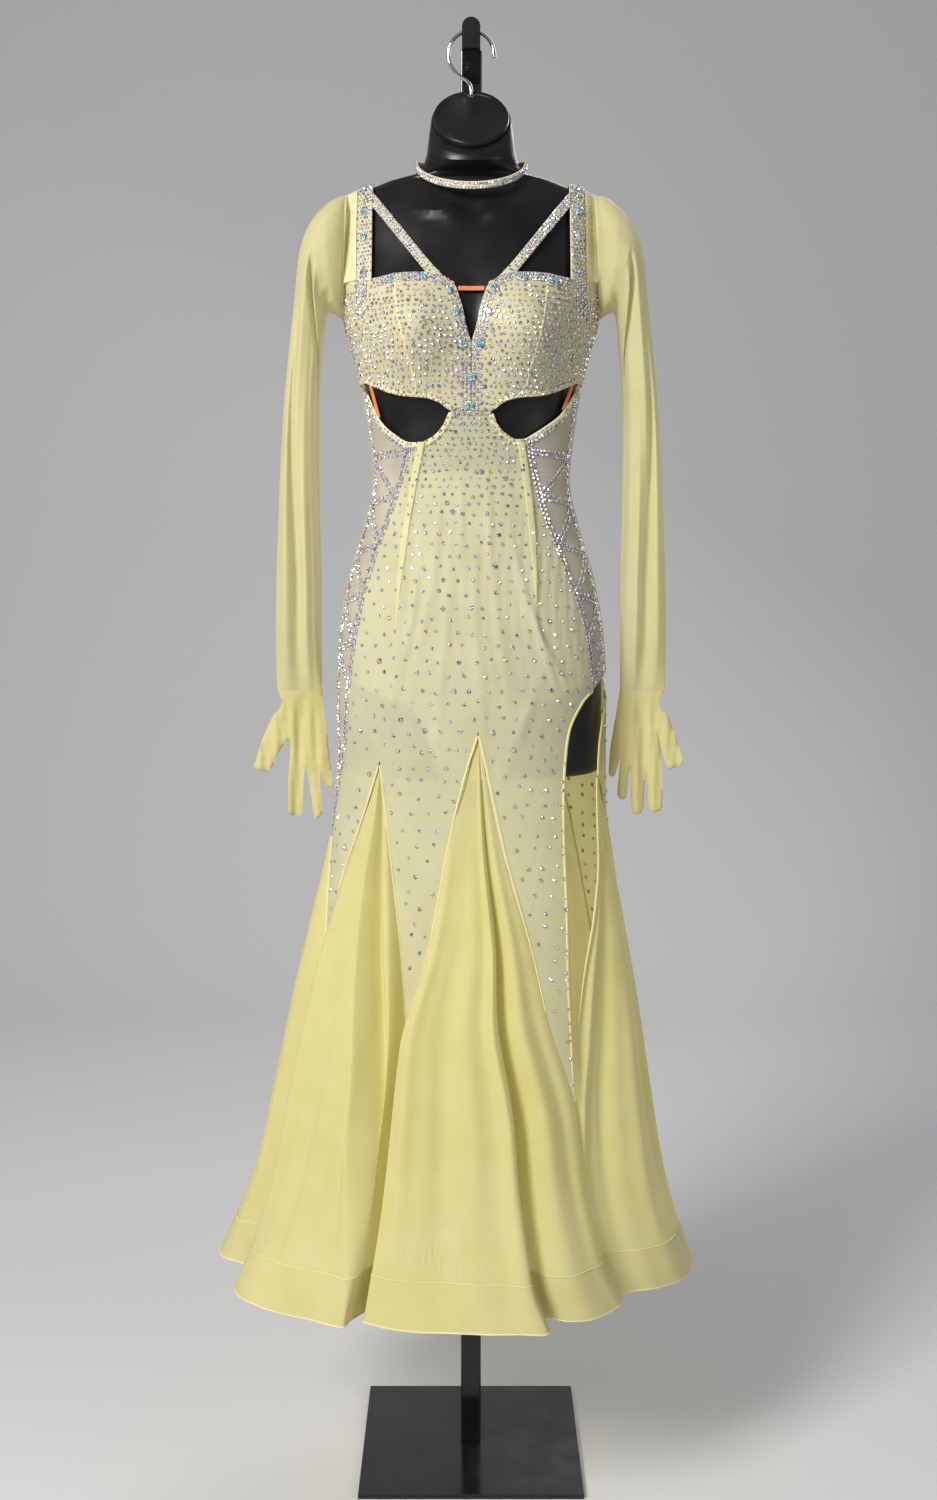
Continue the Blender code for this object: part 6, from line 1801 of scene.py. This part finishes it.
neck_stones, neck_stone_count = StoneCard(), 104
for i in range(neck_stone_count):
    for rise, shift in ((0.0021, 0.0), (0.0058, 0.5)):
        turn = 2 * math.pi * (i + shift) / neck_stone_count
        point = choker_point(turn, 0.0021, rise)
        outward = (point - choker_point(turn, -0.010, rise)).normalized()
        neck_stones.add(point, outward, 0.00172 * stone_chance.uniform(0.88, 1.1), pick_tint(CLOSE_SET))
neck_stones.make("neck_band_stones")

LargeStone = namedtuple("LargeStone", "x z radius")
LARGE_STONES = (
    LargeStone(-0.0243, 1.4075, 0.0046), LargeStone(-0.0156, 1.3838, 0.0046),
    LargeStone(-0.0101, 1.3506, 0.0050), LargeStone(0.0096, 1.3506, 0.0050),
    LargeStone(0.0194, 1.3838, 0.0046), LargeStone(0.0259, 1.4095, 0.0046),
    LargeStone(-0.0876, 1.4205, 0.0044), LargeStone(-0.0527, 1.4220, 0.0046),
    LargeStone(0.0565, 1.4205, 0.0046), LargeStone(0.0904, 1.4185, 0.0046),
    LargeStone(0.0008, 1.3161, 0.0050), LargeStone(-0.0024, 1.2850, 0.0048),
)
large_stones = StoneCard()
for stone in LARGE_STONES:
    point, outward = surface_frame(on_body, math.copysign(angle_at(stone.x, stone.z), stone.x), stone.z)
    large_stones.add(point + outward * 0.0012, outward, stone.radius, TURQUOISE)
for side in (-1, 1):
    for along in (0.35, 2.15, 3.95, 6.2):
        point, outward = strap_frame(side, 0.31, along)
        large_stones.add(point + outward * 0.0027, outward, 0.0046, TURQUOISE)
large_stones.make("large_stones")

# ---------------------------------------------------------------- bands and scattered body stones
# Double rows of violet and rainbow stones make an open lattice over the side nets. Between the
# bands and below them the stones are set in loose staggered rows that open out towards the hem.
FRONT_NODES = (1.2357, 1.1856, 1.1318, 1.0766, 1.0245, 0.9760)
OUTER_NODES = (1.2310, 1.1794, 1.1228, 1.0670, 1.0097)
OUTER_BAND_INSET = 0.0055


def outer_band(z):
    """Degrees of the band that runs just inside the body's outline seen from the front."""
    return angle_at(body_size(max(z, HIP_Z))[0] - OUTER_BAND_INSET, max(z, HIP_Z))


def lattice_band(side, start, end, count=30):
    """Frames along a straight band between two (degrees, height) ends."""
    return [surface_frame(side_place, side * lerp(start[0], end[0], s), lerp(start[1], end[1], s))
            for s in steps_between(0, 1, count)]


def make_lattice_stones(side, word):
    card = StoneCard()
    foot = 0.972 if side > 0 else 0.800
    front = [surface_frame(side_place, side * lattice_degrees(z, side), z)
             for z in steps_between(1.247, foot, 120)]
    outer = [surface_frame(side_place, side * max(outer_band(z), lattice_degrees(z, side) + 3.0), z)
             for z in steps_between(1.305, foot, 120)]
    band_of_stones(card, front, LATTICE_BAND)
    band_of_stones(card, outer, OUTER_BAND)
    top = edge_frames(midriff_rows(side), steps_between(0.0620, 0.1165, 60), side, -0.0050)
    band_of_stones(card, top, LATTICE_BAND)
    front_nodes = [(lattice_degrees(z, side), z) for z in FRONT_NODES]
    outer_nodes = [(outer_band(z), z) for z in OUTER_NODES]
    for start, end in (*zip(front_nodes, outer_nodes), *zip(outer_nodes, front_nodes[1:])):
        band_of_stones(card, lattice_band(side, start, end), LATTICE_BAND)
    card.make(f"{word}_lattice_stones")


for side, word in SIDES:
    make_lattice_stones(side, word)

AtHeight = namedtuple("AtHeight", "z size")
STONE_PITCH = (AtHeight(0.50, 0.0220), AtHeight(0.85, 0.0195), AtHeight(0.98, 0.0185),
               AtHeight(1.08, 0.0160), AtHeight(1.16, 0.0125), AtHeight(1.21, 0.0095),
               AtHeight(1.245, 0.0076), AtHeight(1.27, 0.0070))
STONE_SIZE = (AtHeight(0.50, 0.0023), AtHeight(1.00, 0.0023), AtHeight(1.15, 0.0021),
              AtHeight(1.27, 0.0019))


def stone_pitch(z):
    return smooth(STONE_PITCH, z)


def stone_size(z):
    return smooth(STONE_SIZE, z)


def midriff_weights(point):
    return (0.40, 0.20 if abs(point.x) < 0.06 else 0.42, 0.34, 0.05, 0.01)


APEX_CLEAR_Z = 0.934        # stones keep clear of the front godet's apex from here down
TAIL_TOP_Z = 0.905


def on_front(degrees, z):
    x = body_point(degrees, z).x
    over_godet = z < APEX_CLEAR_Z and abs(degrees - 2.0) < 90 * (APEX_CLEAR_Z - z)
    return z < midriff_top(x) - 0.006 and not over_godet


front_stones = StoneCard()
band_of_stones(front_stones, joint, JOINT_BAND)
scatter_stones(front_stones, on_body, lambda z: -angle_at(0.0190, z), lambda z: angle_at(0.0190, z),
               1.2660, 1.2860, lambda z: 0.0062, lambda degrees, z: True, lambda z: 0.0019, midriff_weights)
scatter_stones(front_stones, front_place, lambda z: front_left(z) + 2.5, lambda z: front_right(z) - 2.5,
               TAIL_TOP_Z, 1.265, stone_pitch, on_front, stone_size, midriff_weights)


def tail_place(radius):
    return lambda degrees, z: skirt_point(degrees, z, radius, CLOTH_OUT)


def scatter_tail(card, tail):
    """Stones over one tail, down to its tip; its upper limit slants between the two apexes."""
    low_z, high_z = tail.apex_low_z, tail.apex_high_z

    def below_apexes(degrees, z):
        low, high = edge_degrees(tail.low, low_z), edge_degrees(tail.high, high_z)
        share = clamped((degrees - low) / (high - low))
        return z < min(TAIL_TOP_Z, lerp(low_z, high_z, share))

    scatter_stones(card, tail_place(tail.radius), lambda z: edge_degrees(tail.low, min(z, low_z)) + 0.9,
                   lambda z: edge_degrees(tail.high, min(z, high_z)) - 0.9, tail.tip_z + 0.010, TAIL_TOP_Z,
                   stone_pitch, below_apexes, stone_size, midriff_weights)


for tail in FRONT_TAILS:
    scatter_tail(front_stones, tail)
slit_edge = [surface_frame(tail_place(FRONT_TAILS[-1].radius), smooth(SLIT_FRONT, z) - 1.6, z)
             for z in steps_between(0.515, TAIL_TOP_Z, 120)]
band_of_stones(front_stones, slit_edge, SLIT_BAND)
front_stones.make("front_body_stones")

back_stones = StoneCard()
scatter_stones(back_stones, side_place, lambda z: back_right(z) + 3,
               lambda z: 357 - back_right(z) if z > SLIT_TOP_Z else 258.0, TAIL_TOP_Z, 1.40,
               lambda z: stone_pitch(z) if z < STONE_PITCH[-1].z else 0.0085,
               lambda degrees, z: z < back_top_z(degrees) - 0.009, stone_size, midriff_weights)
for tail in BACK_TAILS:
    scatter_tail(back_stones, tail)
band_of_stones(back_stones, scoop, SCOOP_BAND)
back_stones.make("back_body_stones")
